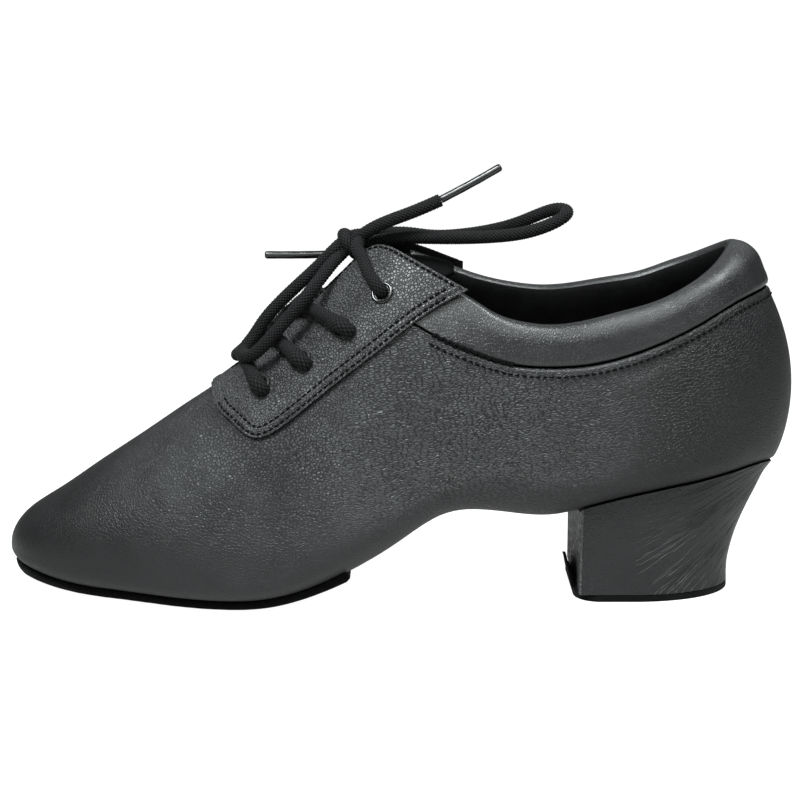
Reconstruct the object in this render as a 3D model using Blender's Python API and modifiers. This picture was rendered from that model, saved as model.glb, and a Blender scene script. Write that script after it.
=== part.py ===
"""Latin dance shoe for the left foot: a black leather lace-up with a split sole and a Cuban heel.

Metres, Z up, floor at Z = 0. The toe points to -X and the outer (lateral) side faces -Y.
Sizes and tables are in millimetres. A station is the distance from the toe's nose along the shoe.
"""
import math
from collections import namedtuple

import bmesh
import bpy
import numpy as np
from mathutils import Matrix, Vector

MM = 0.001
LATERAL, MEDIAL = -1, 1

LENGTH = 278.0
GAP = 0.3
WALL = 1.6

# Curve of the heel's back: a parabola about the bulge
HEEL_BULGE = 72.0
HEEL_CURVE = 66.0
HEEL_CURVE_FROM = 185.0

# Lasting margin of the upper and its two openings underneath
TREAD_SHARE = 0.84
LASTING_MARGIN = 12.0
FOREFOOT_OPENING = (14.0, 118.0)
SEAT_OPENING = (208.0, 262.0)

# Rows of the sheets: across the lasting margin, round its corner up to the belt, and up to the top edge
MARGIN_ROWS = 2
CORNER_ROWS = 3
OVER_ROWS = 6
STAY_ROWS = 4
TONGUE_ROWS = 4
TREAD_ROWS = 4
CORNER_SHARE = 0.74
CORNER_EASE = 0.75
RIDGE_EASE = 1.3
GIRTH_SAMPLES = 161
NORMAL_STEP = 0.01

BREAST = 202.6
THROAT_START = 80.0
FLAP_CORNER = 122.0
FLAP_BACK = 140.5
FLAP_TIP = 163.0
COLLAR_FRONT = 143.7
COLLAR_PUFF = (150.0, 182.0)
COLLAR_SWELL = (240.0, 278.0)
COLLAR_SWELL_SHARE = 0.6

EYESTAY_LIFT = 0.55
EYESTAY_THICK = 1.1
EYESTAY_RISE = 0.8
TONGUE_THICK = 1.6
INSOLE_THICK = 2.0
INSOLE_SHARE = 0.75
INSOLE_SEAT_SHARE = 0.64
INSOLE_WAIST = (110.0, 160.0)
INSOLE_RAISE = 1.2
SOLE_LIFT = 0.4
SOLE_THICK = 2.6
SOLE_FRONT = 3.0
SOLE_BACK = 122.0
SOLE_NOSE = 8.0
SOLE_BLUNT = 0.9

BREAST_SHARES = (0.0, 0.35, 0.62, 0.8, 0.92, 1.0)
SEAT_SHARE = 0.86
SEAT_RINGS = (0.93, 0.82, 0.62, 0.3)
SEAT_GAP = 0.7
BACK_STEPS = 6
TIP_THICK = 2.3
TIP_FRONT = 201.2
TIP_CORNER = 9.0
TIP_CORNER_STEPS = 4
TAB_HALF = 13.0
TAB_FOOT = 0.6
TAB_SHOULDER = 3.0
TAB_HIGH = 10.6
TAB_THICK = 0.9
TAB_LEAN = 2.4
TAB_CURL = 1.3
TAB_GAP = 0.35
TAB_COLUMNS = 8
TAB_ROWS = 4

EYELET_HOLE = 2.3
EYELET_BARREL = 2.55
EYELET_CREST = 3.0
EYELET_CREST_HIGH = 0.65
EYELET_RIM = 3.75
EYELET_DEEP = 2.4
EYELET_STEPS = 10
EYELET_CUT = 2.9
EYELET_CUT_DEEP = 14.0
EYELET_CUT_STEPS = 12
LACE_RADIUS = 1.9
LACE_LIFT = EYESTAY_LIFT + EYESTAY_THICK + GAP + LACE_RADIUS + 0.2
AGLET_RADIUS = 1.4
CORD_STEP = 6.0
AXIS_REACH = 0.6
CROSS_TAIL = 2.2
CROSS_SUNK = 0.4
STRAND_ROOM = 3.4
STRAND_SINK = 0.6
STRAND_LOWEST = 2.6
EYELET_COVER = 1.0

# Sections of the last: centre line, half widths, bottom, height of the widest belt, ridge, and the
# roundness of the section above (crown) and below (tread) the belt
Section = namedtuple("Section", "station axis lateral medial bottom belt ridge crown tread")
LAST = (
    Section(0.0, 5.0, 0.0, 0.0, 14.5, 14.5, 14.5, 2.2, 3.0),
    Section(6.0, 4.9, 17.5, 16.5, 9.4, 14.6, 26.0, 2.2, 3.2),
    Section(20.0, 4.7, 28.7, 27.3, 5.4, 15.2, 35.2, 2.15, 3.6),
    Section(33.0, 4.4, 34.9, 34.1, 4.2, 16.0, 44.2, 2.1, 4.0),
    Section(48.0, 4.0, 39.5, 38.8, 3.7, 16.8, 54.2, 2.0, 4.4),
    Section(64.0, 3.5, 43.3, 42.1, 2.9, 17.2, 65.2, 1.95, 4.8),
    Section(80.0, 3.0, 46.0, 43.8, 2.5, 17.8, 76.2, 1.85, 4.8),
    Section(95.0, 2.5, 48.0, 43.5, 3.5, 19.5, 89.0, 1.78, 4.4),
    Section(110.0, 2.0, 48.8, 41.2, 7.2, 24.5, 104.0, 1.72, 3.8),
    Section(125.0, 1.5, 47.3, 37.5, 12.7, 33.5, 121.0, 1.72, 3.3),
    Section(140.0, 1.0, 44.5, 34.2, 20.8, 43.5, 133.5, 1.78, 2.9),
    Section(155.0, 0.5, 41.3, 32.2, 30.0, 50.5, 137.5, 1.85, 2.8),
    Section(170.0, 0.0, 38.2, 31.6, 31.0, 54.5, 138.5, 1.95, 2.8),
    Section(190.0, 0.0, 35.6, 31.5, 28.8, 58.0, 137.5, 2.0, 3.1),
    Section(210.0, 0.0, 34.2, 31.9, 33.8, 62.0, 135.5, 2.0, 4.2),
    Section(230.0, 0.0, 33.4, 32.2, 38.4, 66.0, 132.5, 2.0, 4.5),
    Section(250.0, 0.0, 30.0, 29.3, 41.2, 70.0, 135.0, 2.0, 4.5),
    Section(265.0, 0.0, 22.0, 21.6, 42.8, 71.5, 138.0, 2.0, 4.2),
    Section(278.0, 0.0, 0.0, 0.0, 44.5, 72.0, 139.0, 2.0, 3.5),
)

# Half width of the throat from the section's axis
Throat = namedtuple("Throat", "station lateral medial")
THROAT = (
    Throat(80.0, 0.0, 0.0),
    Throat(83.0, 3.0, 4.0),
    Throat(88.0, 4.3, 7.0),
    Throat(98.0, 5.2, 9.5),
    Throat(108.0, 6.2, 11.0),
    Throat(122.0, 8.2, 12.5),
)

# Height of the flap's top edge behind the throat
FlapEdge = namedtuple("FlapEdge", "station lateral medial")
FLAP_EDGE = (
    FlapEdge(128.0, 121.3, 119.5),
    FlapEdge(132.5, 122.9, 121.6),
    FlapEdge(137.0, 122.8, 122.2),
    FlapEdge(142.0, 120.8, 121.0),
    FlapEdge(150.0, 116.7, 118.2),
    FlapEdge(157.0, 112.9, 115.2),
    FlapEdge(163.0, 109.8, 112.8),
)

# Height of the eyestay's lower edge
StayEdge = namedtuple("StayEdge", "station height")
STAY_EDGE = (
    StayEdge(74.1, 72.5),
    StayEdge(77.0, 68.3),
    StayEdge(83.0, 64.3),
    StayEdge(88.0, 61.2),
    StayEdge(92.0, 60.3),
    StayEdge(97.0, 62.0),
    StayEdge(106.0, 68.5),
    StayEdge(120.0, 80.0),
    StayEdge(133.5, 90.6),
    StayEdge(147.0, 101.0),
    StayEdge(163.0, 109.8),
)

# Height of the collar's lower seam and of its top, on each side
CollarLine = namedtuple("CollarLine", "station lateral_seam medial_seam lateral_top medial_top")
COLLAR_LINES = (
    CollarLine(143.0, 100.4, 103.5, 119.2, 119.8),
    CollarLine(150.0, 96.5, 100.3, 115.6, 117.2),
    CollarLine(157.0, 93.1, 97.4, 112.1, 114.3),
    CollarLine(164.0, 90.3, 94.8, 108.4, 111.4),
    CollarLine(172.0, 87.4, 92.3, 103.5, 108.8),
    CollarLine(181.0, 85.4, 90.7, 100.5, 106.9),
    CollarLine(191.0, 84.8, 90.2, 99.3, 105.8),
    CollarLine(203.0, 85.4, 90.8, 100.6, 106.6),
    CollarLine(216.0, 88.1, 92.9, 103.5, 108.6),
    CollarLine(230.0, 92.7, 96.2, 106.7, 110.7),
    CollarLine(245.0, 98.6, 100.9, 111.6, 114.6),
    CollarLine(262.0, 105.0, 105.8, 118.0, 119.4),
    CollarLine(278.0, 108.6, 108.6, 125.4, 125.4),
)

# Round of the padded collar: share of the way from seam to top, and distance out of the wall
CollarPoint = namedtuple("CollarPoint", "along out")
COLLAR_ROUND = (
    CollarPoint(0.03, 0.0),
    CollarPoint(0.25, 1.3),
    CollarPoint(0.52, 1.8),
    CollarPoint(0.78, 1.2),
    CollarPoint(0.95, -0.6),
    CollarPoint(1.0, -2.9),
    CollarPoint(0.95, -5.0),
    CollarPoint(0.72, -6.2),
    CollarPoint(0.40, -5.8),
    CollarPoint(0.14, -3.9),
    CollarPoint(0.03, -1.6),
)

TongueRow = namedtuple("TongueRow", "station half drop")
TONGUE = (
    TongueRow(72.0, 9.0, 0.0),
    TongueRow(82.0, 13.0, 0.0),
    TongueRow(92.0, 15.5, 0.2),
    TongueRow(103.0, 16.5, 0.4),
    TongueRow(114.0, 17.0, 0.8),
    TongueRow(124.0, 17.0, 2.2),
    TongueRow(133.0, 16.5, 5.6),
    TongueRow(142.0, 15.5, 10.0),
    TongueRow(150.0, 14.0, 12.4),
    TongueRow(155.0, 12.0, 14.0),
    TongueRow(158.5, 8.0, 15.4),
)

# Heel block from its foot (level 0) to its seat (level 1)
HeelRow = namedtuple("HeelRow", "level back turn half")
HEEL = (
    HeelRow(0.0, 257.6, 222.0, 23.8),
    HeelRow(0.13, 257.5, 222.0, 23.8),
    HeelRow(0.26, 258.3, 222.5, 23.9),
    HeelRow(0.41, 260.0, 223.0, 24.3),
    HeelRow(0.56, 262.4, 224.0, 24.9),
    HeelRow(0.69, 264.9, 225.0, 25.6),
    HeelRow(0.81, 267.3, 226.0, 26.3),
    HeelRow(0.92, 269.6, 227.0, 26.8),
    HeelRow(1.0, 271.2, 228.0, 27.2),
)

# Strand of the lace from the throat's middle to an eyelet: share of the way, and rise over the eyelet's ring
StrandPoint = namedtuple("StrandPoint", "share rise")
STRAND = (
    StrandPoint(0.0, 0.0),
    StrandPoint(0.16, 0.0),
    StrandPoint(0.34, 0.0),
    StrandPoint(0.6, 0.2),
    StrandPoint(0.8, 0.9),
    StrandPoint(1.0, 1.3),
)

# Eyelets from the top down, and how far towards the toe their lace crosses the throat
Eyelet = namedtuple("Eyelet", "number station height ahead")
EYELETS = (
    Eyelet(1, 133.8, 107.8, 0.0),
    Eyelet(2, 122.0, 96.6, 16.5),
    Eyelet(3, 107.6, 85.0, 13.0),
    Eyelet(4, 93.5, 75.8, 8.5),
)

FOREFOOT_STATIONS = (
    SOLE_FRONT, 7.0, 14.0, 22.0, 31.0, 41.0, 51.0, 61.0, 71.0, THROAT_START, 83.0, 88.0, 96.0,
    104.0, 112.0, 118.0)
UPPER_STATIONS = (0.0, 0.8, *FOREFOOT_STATIONS,
                  FLAP_CORNER, 128.0, 132.5, 137.0, FLAP_BACK, 143.4, 150.0, 159.0, 169.0, 179.0, 188.0, 196.0,
                  BREAST, 208.0, 218.0, 228.0, 238.0, 247.0, 255.0, 262.0, 267.0, 272.0, 276.0, LENGTH)
STAY_STATIONS = (
    74.1, 75.4, 77.5, THROAT_START, 83.0, 88.0, 92.0, 97.0, 103.0, 109.0, 115.0, FLAP_CORNER, 125.0, 128.0,
    132.5, 137.0, 143.0, 150.0, 156.0, 160.5, FLAP_TIP)
COLLAR_STATIONS = (
    COLLAR_FRONT, 149.0, 156.0, 163.0, 171.0, 180.0, 190.0, 200.0, 211.0, 222.0, 233.0, 244.0, 254.0, 262.0,
    268.5, 274.0, LENGTH)
INSOLE_STATIONS = (9.0, 18.0, 34.0, 54.0, 74.0, 92.0, 108.0, 122.0, 136.0, 150.0, 162.0, 180.0, 200.0, 222.0,
                   242.0, 256.0, 265.0)
SOLE_STATIONS = (SOLE_FRONT, 4.2, 5.6, *FOREFOOT_STATIONS[1:], SOLE_BACK)

# Lace from a top eyelet to the knot: way towards the toe, way up on each side, extra height off the upper
RiserPoint = namedtuple("RiserPoint", "ahead lateral medial lift")
RISER = (
    RiserPoint(2.6, 4.2, 4.2, 0.0),
    RiserPoint(5.0, 8.6, 8.6, 0.0),
    RiserPoint(7.4, 12.0, 11.2, 0.6),
)
RISER_INTO_KNOT = (1.6, 2.2, -1.4)

# Bow: the knot, and the routes of the loops, ends and aglets
KNOT_AT = (-16.0, -3.0, 123.2)
KNOT_SIZE = (3.7, 5.0, 4.4)
KNOT_SEGMENTS = 12
KNOT_RINGS = 8
LOOP_FRONT = (
    (-20.4, -5.4, 122.2), (-24.4, -6.2, 118.2), (-32.4, -7.4, 110.7), (-40.6, -8.6, 103.0), (-46.1, -9.4, 96.7),
    (-50.0, -10.4, 91.0), (-52.6, -12.4, 87.6), (-52.7, -15.4, 86.2), (-50.4, -18.6, 86.2), (-47.0, -20.6, 88.6),
    (-41.2, -21.2, 94.8), (-36.0, -20.4, 100.7), (-30.9, -19.0, 106.6), (-26.3, -17.0, 112.0),
    (-22.4, -14.0, 116.6), (-17.3, -9.4, 119.5))
LOOP_BACK = (
    (-12.7, -0.1, 124.7), (-4.0, 3.0, 126.2), (2.9, 5.0, 125.8), (11.6, 6.4, 124.7), (22.0, 7.0, 124.9),
    (32.4, 7.2, 126.4), (42.8, 7.2, 129.2), (50.6, 6.8, 132.4), (56.4, 4.8, 134.2), (59.0, 0.6, 133.8),
    (57.4, -4.0, 132.2), (51.6, -6.6, 129.5), (42.9, -7.2, 127.0), (32.4, -7.2, 125.8), (22.0, -7.0, 125.4),
    (11.6, -6.6, 125.4), (1.1, -5.6, 125.2), (-6.0, -4.8, 124.2), (-12.0, -4.1, 123.0))
END_BACK = (
    (-13.5, -7.2, 125.2), (-8.6, -9.2, 128.7), (-4.0, -10.0, 131.0), (4.6, -9.4, 134.2), (14.9, -7.6, 138.4))
AGLET_BACK = ((15.2, -7.5, 138.6), (25.3, -6.2, 143.8), (35.7, -5.0, 149.6))
END_FRONT = ((-19.5, 0.0, 122.0), (-22.6, 2.8, 120.0), (-25.4, 3.8, 118.8), (-29.0, 4.0, 118.2))
AGLET_FRONT = ((-29.4, 4.0, 118.2), (-37.8, 4.0, 118.2), (-46.2, 4.0, 118.2))

Finish = namedtuple("Finish", "name colour roughness metallic")
BLACK_LEATHER = Finish("black leather", (0.022, 0.022, 0.024), 0.45, 0.0)
COLLAR_LEATHER = Finish("soft collar leather", (0.026, 0.026, 0.028), 0.38, 0.0)
LINING = Finish("dark lining", (0.012, 0.012, 0.013), 0.7, 0.0)
SUEDE = Finish("black suede", (0.010, 0.010, 0.010), 0.95, 0.0)
RING_METAL = Finish("dark enamelled metal", (0.03, 0.03, 0.033), 0.3, 0.8)
BRAID = Finish("black braid", (0.015, 0.015, 0.016), 0.8, 0.0)
AGLET_SKIN = Finish("clear black sleeve", (0.02, 0.02, 0.022), 0.25, 0.0)


def spline(knots, values):
    """Natural cubic spline through rows of values."""
    knots = np.asarray(knots, float)
    values = np.asarray(values, float)
    steps = np.diff(knots)
    system = np.eye(len(knots))
    right = np.zeros_like(values)
    for i in range(1, len(knots) - 1):
        system[i, i - 1:i + 2] = steps[i - 1], 2.0 * (steps[i - 1] + steps[i]), steps[i]
        right[i] = 6.0 * ((values[i + 1] - values[i]) / steps[i] - (values[i] - values[i - 1]) / steps[i - 1])
    bend = np.linalg.solve(system, right)

    def at(knot):
        i = int(np.clip(np.searchsorted(knots, knot) - 1, 0, len(steps) - 1))
        a = (knots[i + 1] - knot) / steps[i]
        b = 1.0 - a
        cubic = (a ** 3 - a) * bend[i] + (b ** 3 - b) * bend[i + 1]
        return a * values[i] + b * values[i + 1] + cubic * steps[i] ** 2 / 6.0

    return at


def table_spline(rows):
    """Spline of a table's later columns over its first."""
    return spline([row[0] for row in rows], [row[1:] for row in rows])


def turn_of(station):
    """Angle of a station round the shoe's plan, 0 at the nose and pi at the heel."""
    return math.acos(float(np.clip(1.0 - 2.0 * station / LENGTH, -1.0, 1.0)))


LAST_LINE = spline([turn_of(row.station) for row in LAST], [row[1:] for row in LAST])
THROAT_LINE = table_spline(THROAT)
FLAP_LINE = table_spline(FLAP_EDGE)
STAY_LINE = table_spline(STAY_EDGE)
COLLAR_LINE = table_spline(COLLAR_LINES)
TONGUE_LINE = table_spline(TONGUE)
HEEL_LINE = table_spline(HEEL)


def section(station):
    """The last's section at a station."""
    return Section(station, *LAST_LINE(turn_of(station)))


def half_width(cut, side):
    """Half width of a section on one side."""
    return max(cut.lateral if side == LATERAL else cut.medial, 0.0)


def ramp(value, start, stop):
    """Smooth step from 0 at start to 1 at stop."""
    share = float(np.clip((value - start) / (stop - start), 0.0, 1.0))
    return share * share * (3.0 - 2.0 * share)


def lean(station, height):
    """How far the curve of the heel's back draws a point forward."""
    return -ramp(station, HEEL_CURVE_FROM, LENGTH) * (height - HEEL_BULGE) ** 2 / (2.0 * HEEL_CURVE)


def surface(side, station, angle):
    """Point of the last's outside: angle -pi/2 is the bottom's middle, 0 the belt and pi/2 the ridge."""
    cut = section(station)
    power = 2.0 / (cut.crown if angle >= 0.0 else cut.tread)
    out = half_width(cut, side) * max(math.cos(angle), 0.0) ** power
    rise = abs(math.sin(angle)) ** power
    if angle >= 0.0:
        height = cut.belt + (cut.ridge - cut.belt) * rise
    else:
        height = cut.belt - (cut.belt - cut.bottom) * rise
    return np.array((station + lean(station, height) - LENGTH / 2.0, cut.axis + side * out, height))


def angle_at_height(station, height):
    """Angle at which the last's side reaches a height."""
    cut = section(station)
    if height >= cut.belt:
        return math.asin(min((height - cut.belt) / (cut.ridge - cut.belt), 1.0) ** (cut.crown / 2.0))
    return -math.asin(min((cut.belt - height) / (cut.belt - cut.bottom), 1.0) ** (cut.tread / 2.0))


def angle_at_width(side, station, out, below=False):
    """Angle at which the last's side lies a distance out of its axis, above or below the belt."""
    cut = section(station)
    power = (cut.tread if below else cut.crown) / 2.0
    angle = math.acos(min(out / max(half_width(cut, side), 1e-6), 1.0) ** power)
    return -angle if below else angle


def outward(side, station, angle):
    """Unit normal of the last's outside."""
    turn = turn_of(station)
    before = LENGTH * (1.0 - math.cos(max(turn - NORMAL_STEP, 0.0))) / 2.0
    after = LENGTH * (1.0 - math.cos(min(turn + NORMAL_STEP, math.pi))) / 2.0
    along = surface(side, after, angle) - surface(side, before, angle)
    low = max(angle - NORMAL_STEP, -math.pi / 2.0)
    high = min(angle + NORMAL_STEP, math.pi / 2.0)
    up = surface(side, station, high) - surface(side, station, low)
    normal = np.cross(along, up) * -side
    return normal / np.linalg.norm(normal)


def above(side, station, height, lift):
    """Point at a distance off the last's side."""
    angle = angle_at_height(station, height)
    return surface(side, station, angle) + outward(side, station, angle) * lift


def girth(side, station, start, stop, rows, ease=1.0):
    """Points along a section from one angle to another, closer together at its end for a larger ease."""
    angles = np.linspace(start, stop, GIRTH_SAMPLES)
    path = np.array([surface(side, station, angle) for angle in angles])
    steps = np.linalg.norm(np.diff(path, axis=0), axis=1)
    reach = np.concatenate(([0.0], np.cumsum(steps)))
    marks = reach[-1] * (1.0 - np.linspace(1.0, 0.0, rows + 1) ** ease)
    if reach[-1] < 1e-6:
        return [path[0]] * (rows + 1)
    return [np.array([np.interp(mark, reach, path[:, k]) for k in range(3)]) for mark in marks]


def pick(side, pair):
    """The lateral or medial one of two values."""
    return float(pair[0] if side == LATERAL else pair[1])


def flap_angle(side, station):
    """Angle of the throat's edge and of the flap's top edge."""
    if station <= THROAT_START:
        return math.pi / 2.0
    if station <= FLAP_CORNER:
        return angle_at_width(side, station, pick(side, THROAT_LINE(station)))
    first = FLAP_EDGE[0].station
    if station < first:
        share = (station - FLAP_CORNER) / (first - FLAP_CORNER)
        return (1.0 - share) * flap_angle(side, FLAP_CORNER) + share * flap_angle(side, first)
    return angle_at_height(station, pick(side, FLAP_LINE(station)))


def seam_height(side, station):
    """Height of the collar's lower seam."""
    return pick(side, COLLAR_LINE(station)[0:2])


def topline_height(side, station):
    """Height of the collar's top."""
    return pick(side, COLLAR_LINE(station)[2:4])


def upper_top(side, station):
    """Angle of the upper's top edge: ridge, then throat and flap, then collar seam."""
    if station <= FLAP_BACK:
        return flap_angle(side, station)
    return angle_at_height(station, seam_height(side, station) - GAP)


def upper_bottom(side, station):
    """Angle of the lasting margin's inner edge, or of the bottom's middle where the leather closes."""
    for first, last in (FOREFOOT_OPENING, SEAT_OPENING):
        if first < station < last:
            share = (2.0 * station - first - last) / (last - first)
            half = half_width(section(station), side)
            out = (TREAD_SHARE * half - LASTING_MARGIN) * math.sqrt(1.0 - share ** 6)
            return angle_at_width(side, station, max(out, 0.0), below=True)
    return -math.pi / 2.0


def new_material(finish):
    """Principled material of a finish."""
    material = bpy.data.materials.new(finish.name)
    material.use_nodes = True
    shader = material.node_tree.nodes["Principled BSDF"]
    shader.inputs["Base Color"].default_value = (*finish.colour, 1.0)
    shader.inputs["Roughness"].default_value = finish.roughness
    shader.inputs["Metallic"].default_value = finish.metallic
    material.diffuse_color = (*finish.colour, 1.0)
    return material


def new_object(name, data, finish, group):
    """Object in a collection with its own material."""
    item = bpy.data.objects.new(name, data)
    group.objects.link(item)
    if finish is not None:
        data.materials.append(new_material(finish))
    return item


def mesh_from(name, builder):
    """Mesh data of a finished bmesh."""
    data = bpy.data.meshes.new(name)
    builder.to_mesh(data)
    builder.free()
    return data


def skin(name, halves, finish, group):
    """Sheet through columns of points on both sides, joined where they meet on the centre line."""
    builder = bmesh.new()
    for side, columns in halves:
        rings = [[builder.verts.new(Vector(point) * MM) for point in column] for column in columns]
        for left, right in zip(rings, rings[1:]):
            for row in range(len(left) - 1):
                corners = [left[row], right[row], right[row + 1], left[row + 1]]
                builder.faces.new(corners if side == LATERAL else corners[::-1])
    bmesh.ops.remove_doubles(builder, verts=builder.verts, dist=0.01 * MM)
    return new_object(name, mesh_from(name, builder), finish, group)


def lift(item, distance_at):
    """Move each vertex of a sheet along its normal."""
    data = item.data
    moves = [vertex.normal * distance_at(vertex.co / MM) * MM for vertex in data.vertices]
    for vertex, move in zip(data.vertices, moves):
        vertex.co += move
    data.update()


def thicken(item, thickness):
    """Give a sheet a wall, outwards for a positive thickness and inwards for a negative one."""
    wall = item.modifiers.new("Wall", 'SOLIDIFY')
    wall.thickness = abs(thickness) * MM
    wall.offset = math.copysign(1.0, thickness)
    wall.use_even_offset = True
    wall.use_quality_normals = True


def settle(item):
    """Replace an object's mesh by the result of its modifiers."""
    shown = item.evaluated_get(bpy.context.evaluated_depsgraph_get())
    data = bpy.data.meshes.new_from_object(shown)
    item.modifiers.clear()
    item.data = data


def smooth(item):
    """Shade a mesh smooth."""
    item.data.polygons.foreach_set("use_smooth", [True] * len(item.data.polygons))


def combine(item, other, operation, keep=False):
    """Boolean of two objects."""
    step = item.modifiers.new(operation.title(), 'BOOLEAN')
    step.operation = operation
    step.solver = 'EXACT'
    step.object = other
    if not keep:
        settle(item)
        bpy.data.objects.remove(other)


def drill(item, cutters):
    """Cut the eyelet holes."""
    for cutter in cutters:
        combine(item, cutter, 'DIFFERENCE', keep=True)


def eyelet_frame(side, eyelet, lifted):
    """Matrix with Z out of the upper at an eyelet."""
    angle = angle_at_height(eyelet.station, eyelet.height)
    normal = Vector(outward(side, eyelet.station, angle))
    place = Vector(surface(side, eyelet.station, angle)) + normal * lifted
    return Matrix.Translation(place * MM) @ normal.to_track_quat('Z', 'X').to_matrix().to_4x4()


def build_upper(group):
    """Hollow leather wall."""
    halves = []
    for side in (LATERAL, MEDIAL):
        columns = []
        for station in UPPER_STATIONS:
            reach = CORNER_SHARE * half_width(section(station), side)
            corner = angle_at_width(side, station, reach, below=True)
            margin = girth(side, station, upper_bottom(side, station), corner, MARGIN_ROWS)
            under = girth(side, station, corner, 0.0, CORNER_ROWS, CORNER_EASE)
            over = girth(side, station, 0.0, upper_top(side, station), OVER_ROWS, RIDGE_EASE)
            columns.append(margin[:-1] + under[:-1] + over)
        halves.append((side, columns))
    item = skin("upper", halves, BLACK_LEATHER, group)
    thicken(item, -WALL)
    smooth(item)
    return item


def build_eyestay(group):
    """U-shaped overlay round the throat."""
    halves = []
    for side in (LATERAL, MEDIAL):
        columns = []
        for station in STAY_STATIONS:
            low = angle_at_height(station, float(STAY_LINE(station)[0]))
            high = flap_angle(side, station)
            columns.append(girth(side, station, min(low, high), high, STAY_ROWS, RIDGE_EASE))
        halves.append((side, columns))
    item = skin("eyestay", halves, BLACK_LEATHER, group)
    lift(item, lambda place: EYESTAY_LIFT + EYESTAY_RISE * ramp(place.x + LENGTH / 2.0, COLLAR_FRONT, FLAP_TIP))
    thicken(item, EYESTAY_THICK)
    smooth(item)
    return item


def collar_ring(side, station):
    """Round of the collar at one station."""
    seam = seam_height(side, station)
    top = topline_height(side, station)
    puff = ramp(station, *COLLAR_PUFF) + COLLAR_SWELL_SHARE * ramp(station, *COLLAR_SWELL)
    points = []
    for spot in COLLAR_ROUND:
        out = spot.out * puff if spot.out > 0.0 else spot.out
        points.append(above(side, station, seam + spot.along * (top - seam), out))
    return points


def build_collar(group):
    """Padded roll along the topline, round the heel from flap to flap."""
    stops = [(LATERAL, station) for station in COLLAR_STATIONS]
    stops += [(MEDIAL, station) for station in reversed(COLLAR_STATIONS[:-1])]
    builder = bmesh.new()
    rings = [[builder.verts.new(Vector(point) * MM) for point in collar_ring(*stop)] for stop in stops]
    count = len(COLLAR_ROUND)
    for left, right in zip(rings, rings[1:]):
        for k in range(count):
            after = (k + 1) % count
            builder.faces.new((left[k], right[k], right[after], left[after]))
    builder.faces.new(rings[0])
    builder.faces.new(rings[-1][::-1])
    bmesh.ops.recalc_face_normals(builder, faces=builder.faces)
    item = new_object("collar", mesh_from("collar", builder), COLLAR_LEATHER, group)
    smooth(item)
    return item


def build_tongue(group):
    """Sheet under the throat, falling back over the opening at its top."""
    halves = []
    for side in (LATERAL, MEDIAL):
        columns = []
        for row in TONGUE:
            edge = angle_at_width(side, row.station, row.half)
            column = girth(side, row.station, edge, math.pi / 2.0, TONGUE_ROWS)
            columns.append([point - np.array((0.0, 0.0, row.drop)) for point in column])
        halves.append((side, columns))
    item = skin("tongue", halves, LINING, group)
    lift(item, lambda place: -WALL - 3.0 * GAP)
    thicken(item, -TONGUE_THICK)
    smooth(item)
    return item


def tread_halves(stations, share_at):
    """Both halves of the last's bottom, out to a share of its width."""
    halves = []
    for side in (LATERAL, MEDIAL):
        columns = []
        for station in stations:
            reach = share_at(station) * half_width(section(station), side)
            edge = angle_at_width(side, station, reach, below=True)
            columns.append(girth(side, station, -math.pi / 2.0, edge, TREAD_ROWS))
        halves.append((side, columns))
    return halves


def build_insole(group):
    """Sheet on the lasting margin."""
    narrowing = INSOLE_SEAT_SHARE - INSOLE_SHARE
    halves = tread_halves(
        INSOLE_STATIONS, lambda station: INSOLE_SHARE + narrowing * ramp(station, *INSOLE_WAIST))
    item = skin("insole", halves, LINING, group)
    lift(item, lambda place: -WALL - 2.0 * GAP - INSOLE_RAISE * ramp(place.x + LENGTH / 2.0, *INSOLE_WAIST))
    thicken(item, -INSOLE_THICK)
    smooth(item)
    return item


def sole_share(station):
    """Share of the last's width that the sole covers, rounded off at the toe."""
    ahead = max(1.0 - (station - SOLE_FRONT) / SOLE_NOSE, 0.0)
    return TREAD_SHARE * math.sqrt(1.0 - SOLE_BLUNT * ahead ** 2)


def build_outsole(group):
    """Suede sole under the forefoot, pressed flat on the floor at the ball."""
    item = skin("outsole", tread_halves(SOLE_STATIONS, sole_share), SUEDE, group)
    lift(item, lambda place: SOLE_LIFT)
    thicken(item, SOLE_THICK)
    settle(item)
    for vertex in item.data.vertices:
        vertex.co.z = max(vertex.co.z, 0.0)
    smooth(item)
    return item


def seat_height(station, out):
    """Height of the upper's underside over a point of the floor plan."""
    side = LATERAL if out < 0.0 else MEDIAL
    nominal = station
    for _ in range(6):
        nominal = min(nominal, LENGTH - 0.5)
        cut = section(nominal)
        share = min(abs(out) / half_width(cut, side), SEAT_SHARE)
        height = cut.belt - (cut.belt - cut.bottom) * (1.0 - share ** cut.tread) ** (1.0 / cut.tread)
        nominal = station - lean(nominal, height)
    return height


def heel_outline(level, front):
    """Plan of the heel at a level: flat breast, straight sides and a round back."""
    back, turn, half = (float(value) for value in HEEL_LINE(level))
    side = [(front, share * half) for share in BREAST_SHARES]
    side += [(front + 0.5 * (turn - front), half), (turn, half)]
    for k in range(1, BACK_STEPS + 1):
        angle = 0.5 * math.pi * k / BACK_STEPS
        side.append((turn + (back - turn) * math.sin(angle), half * math.cos(angle)))
    side[-1] = (back, 0.0)
    other = [(station, -out) for station, out in side]
    return other + side[-2:0:-1]


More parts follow.
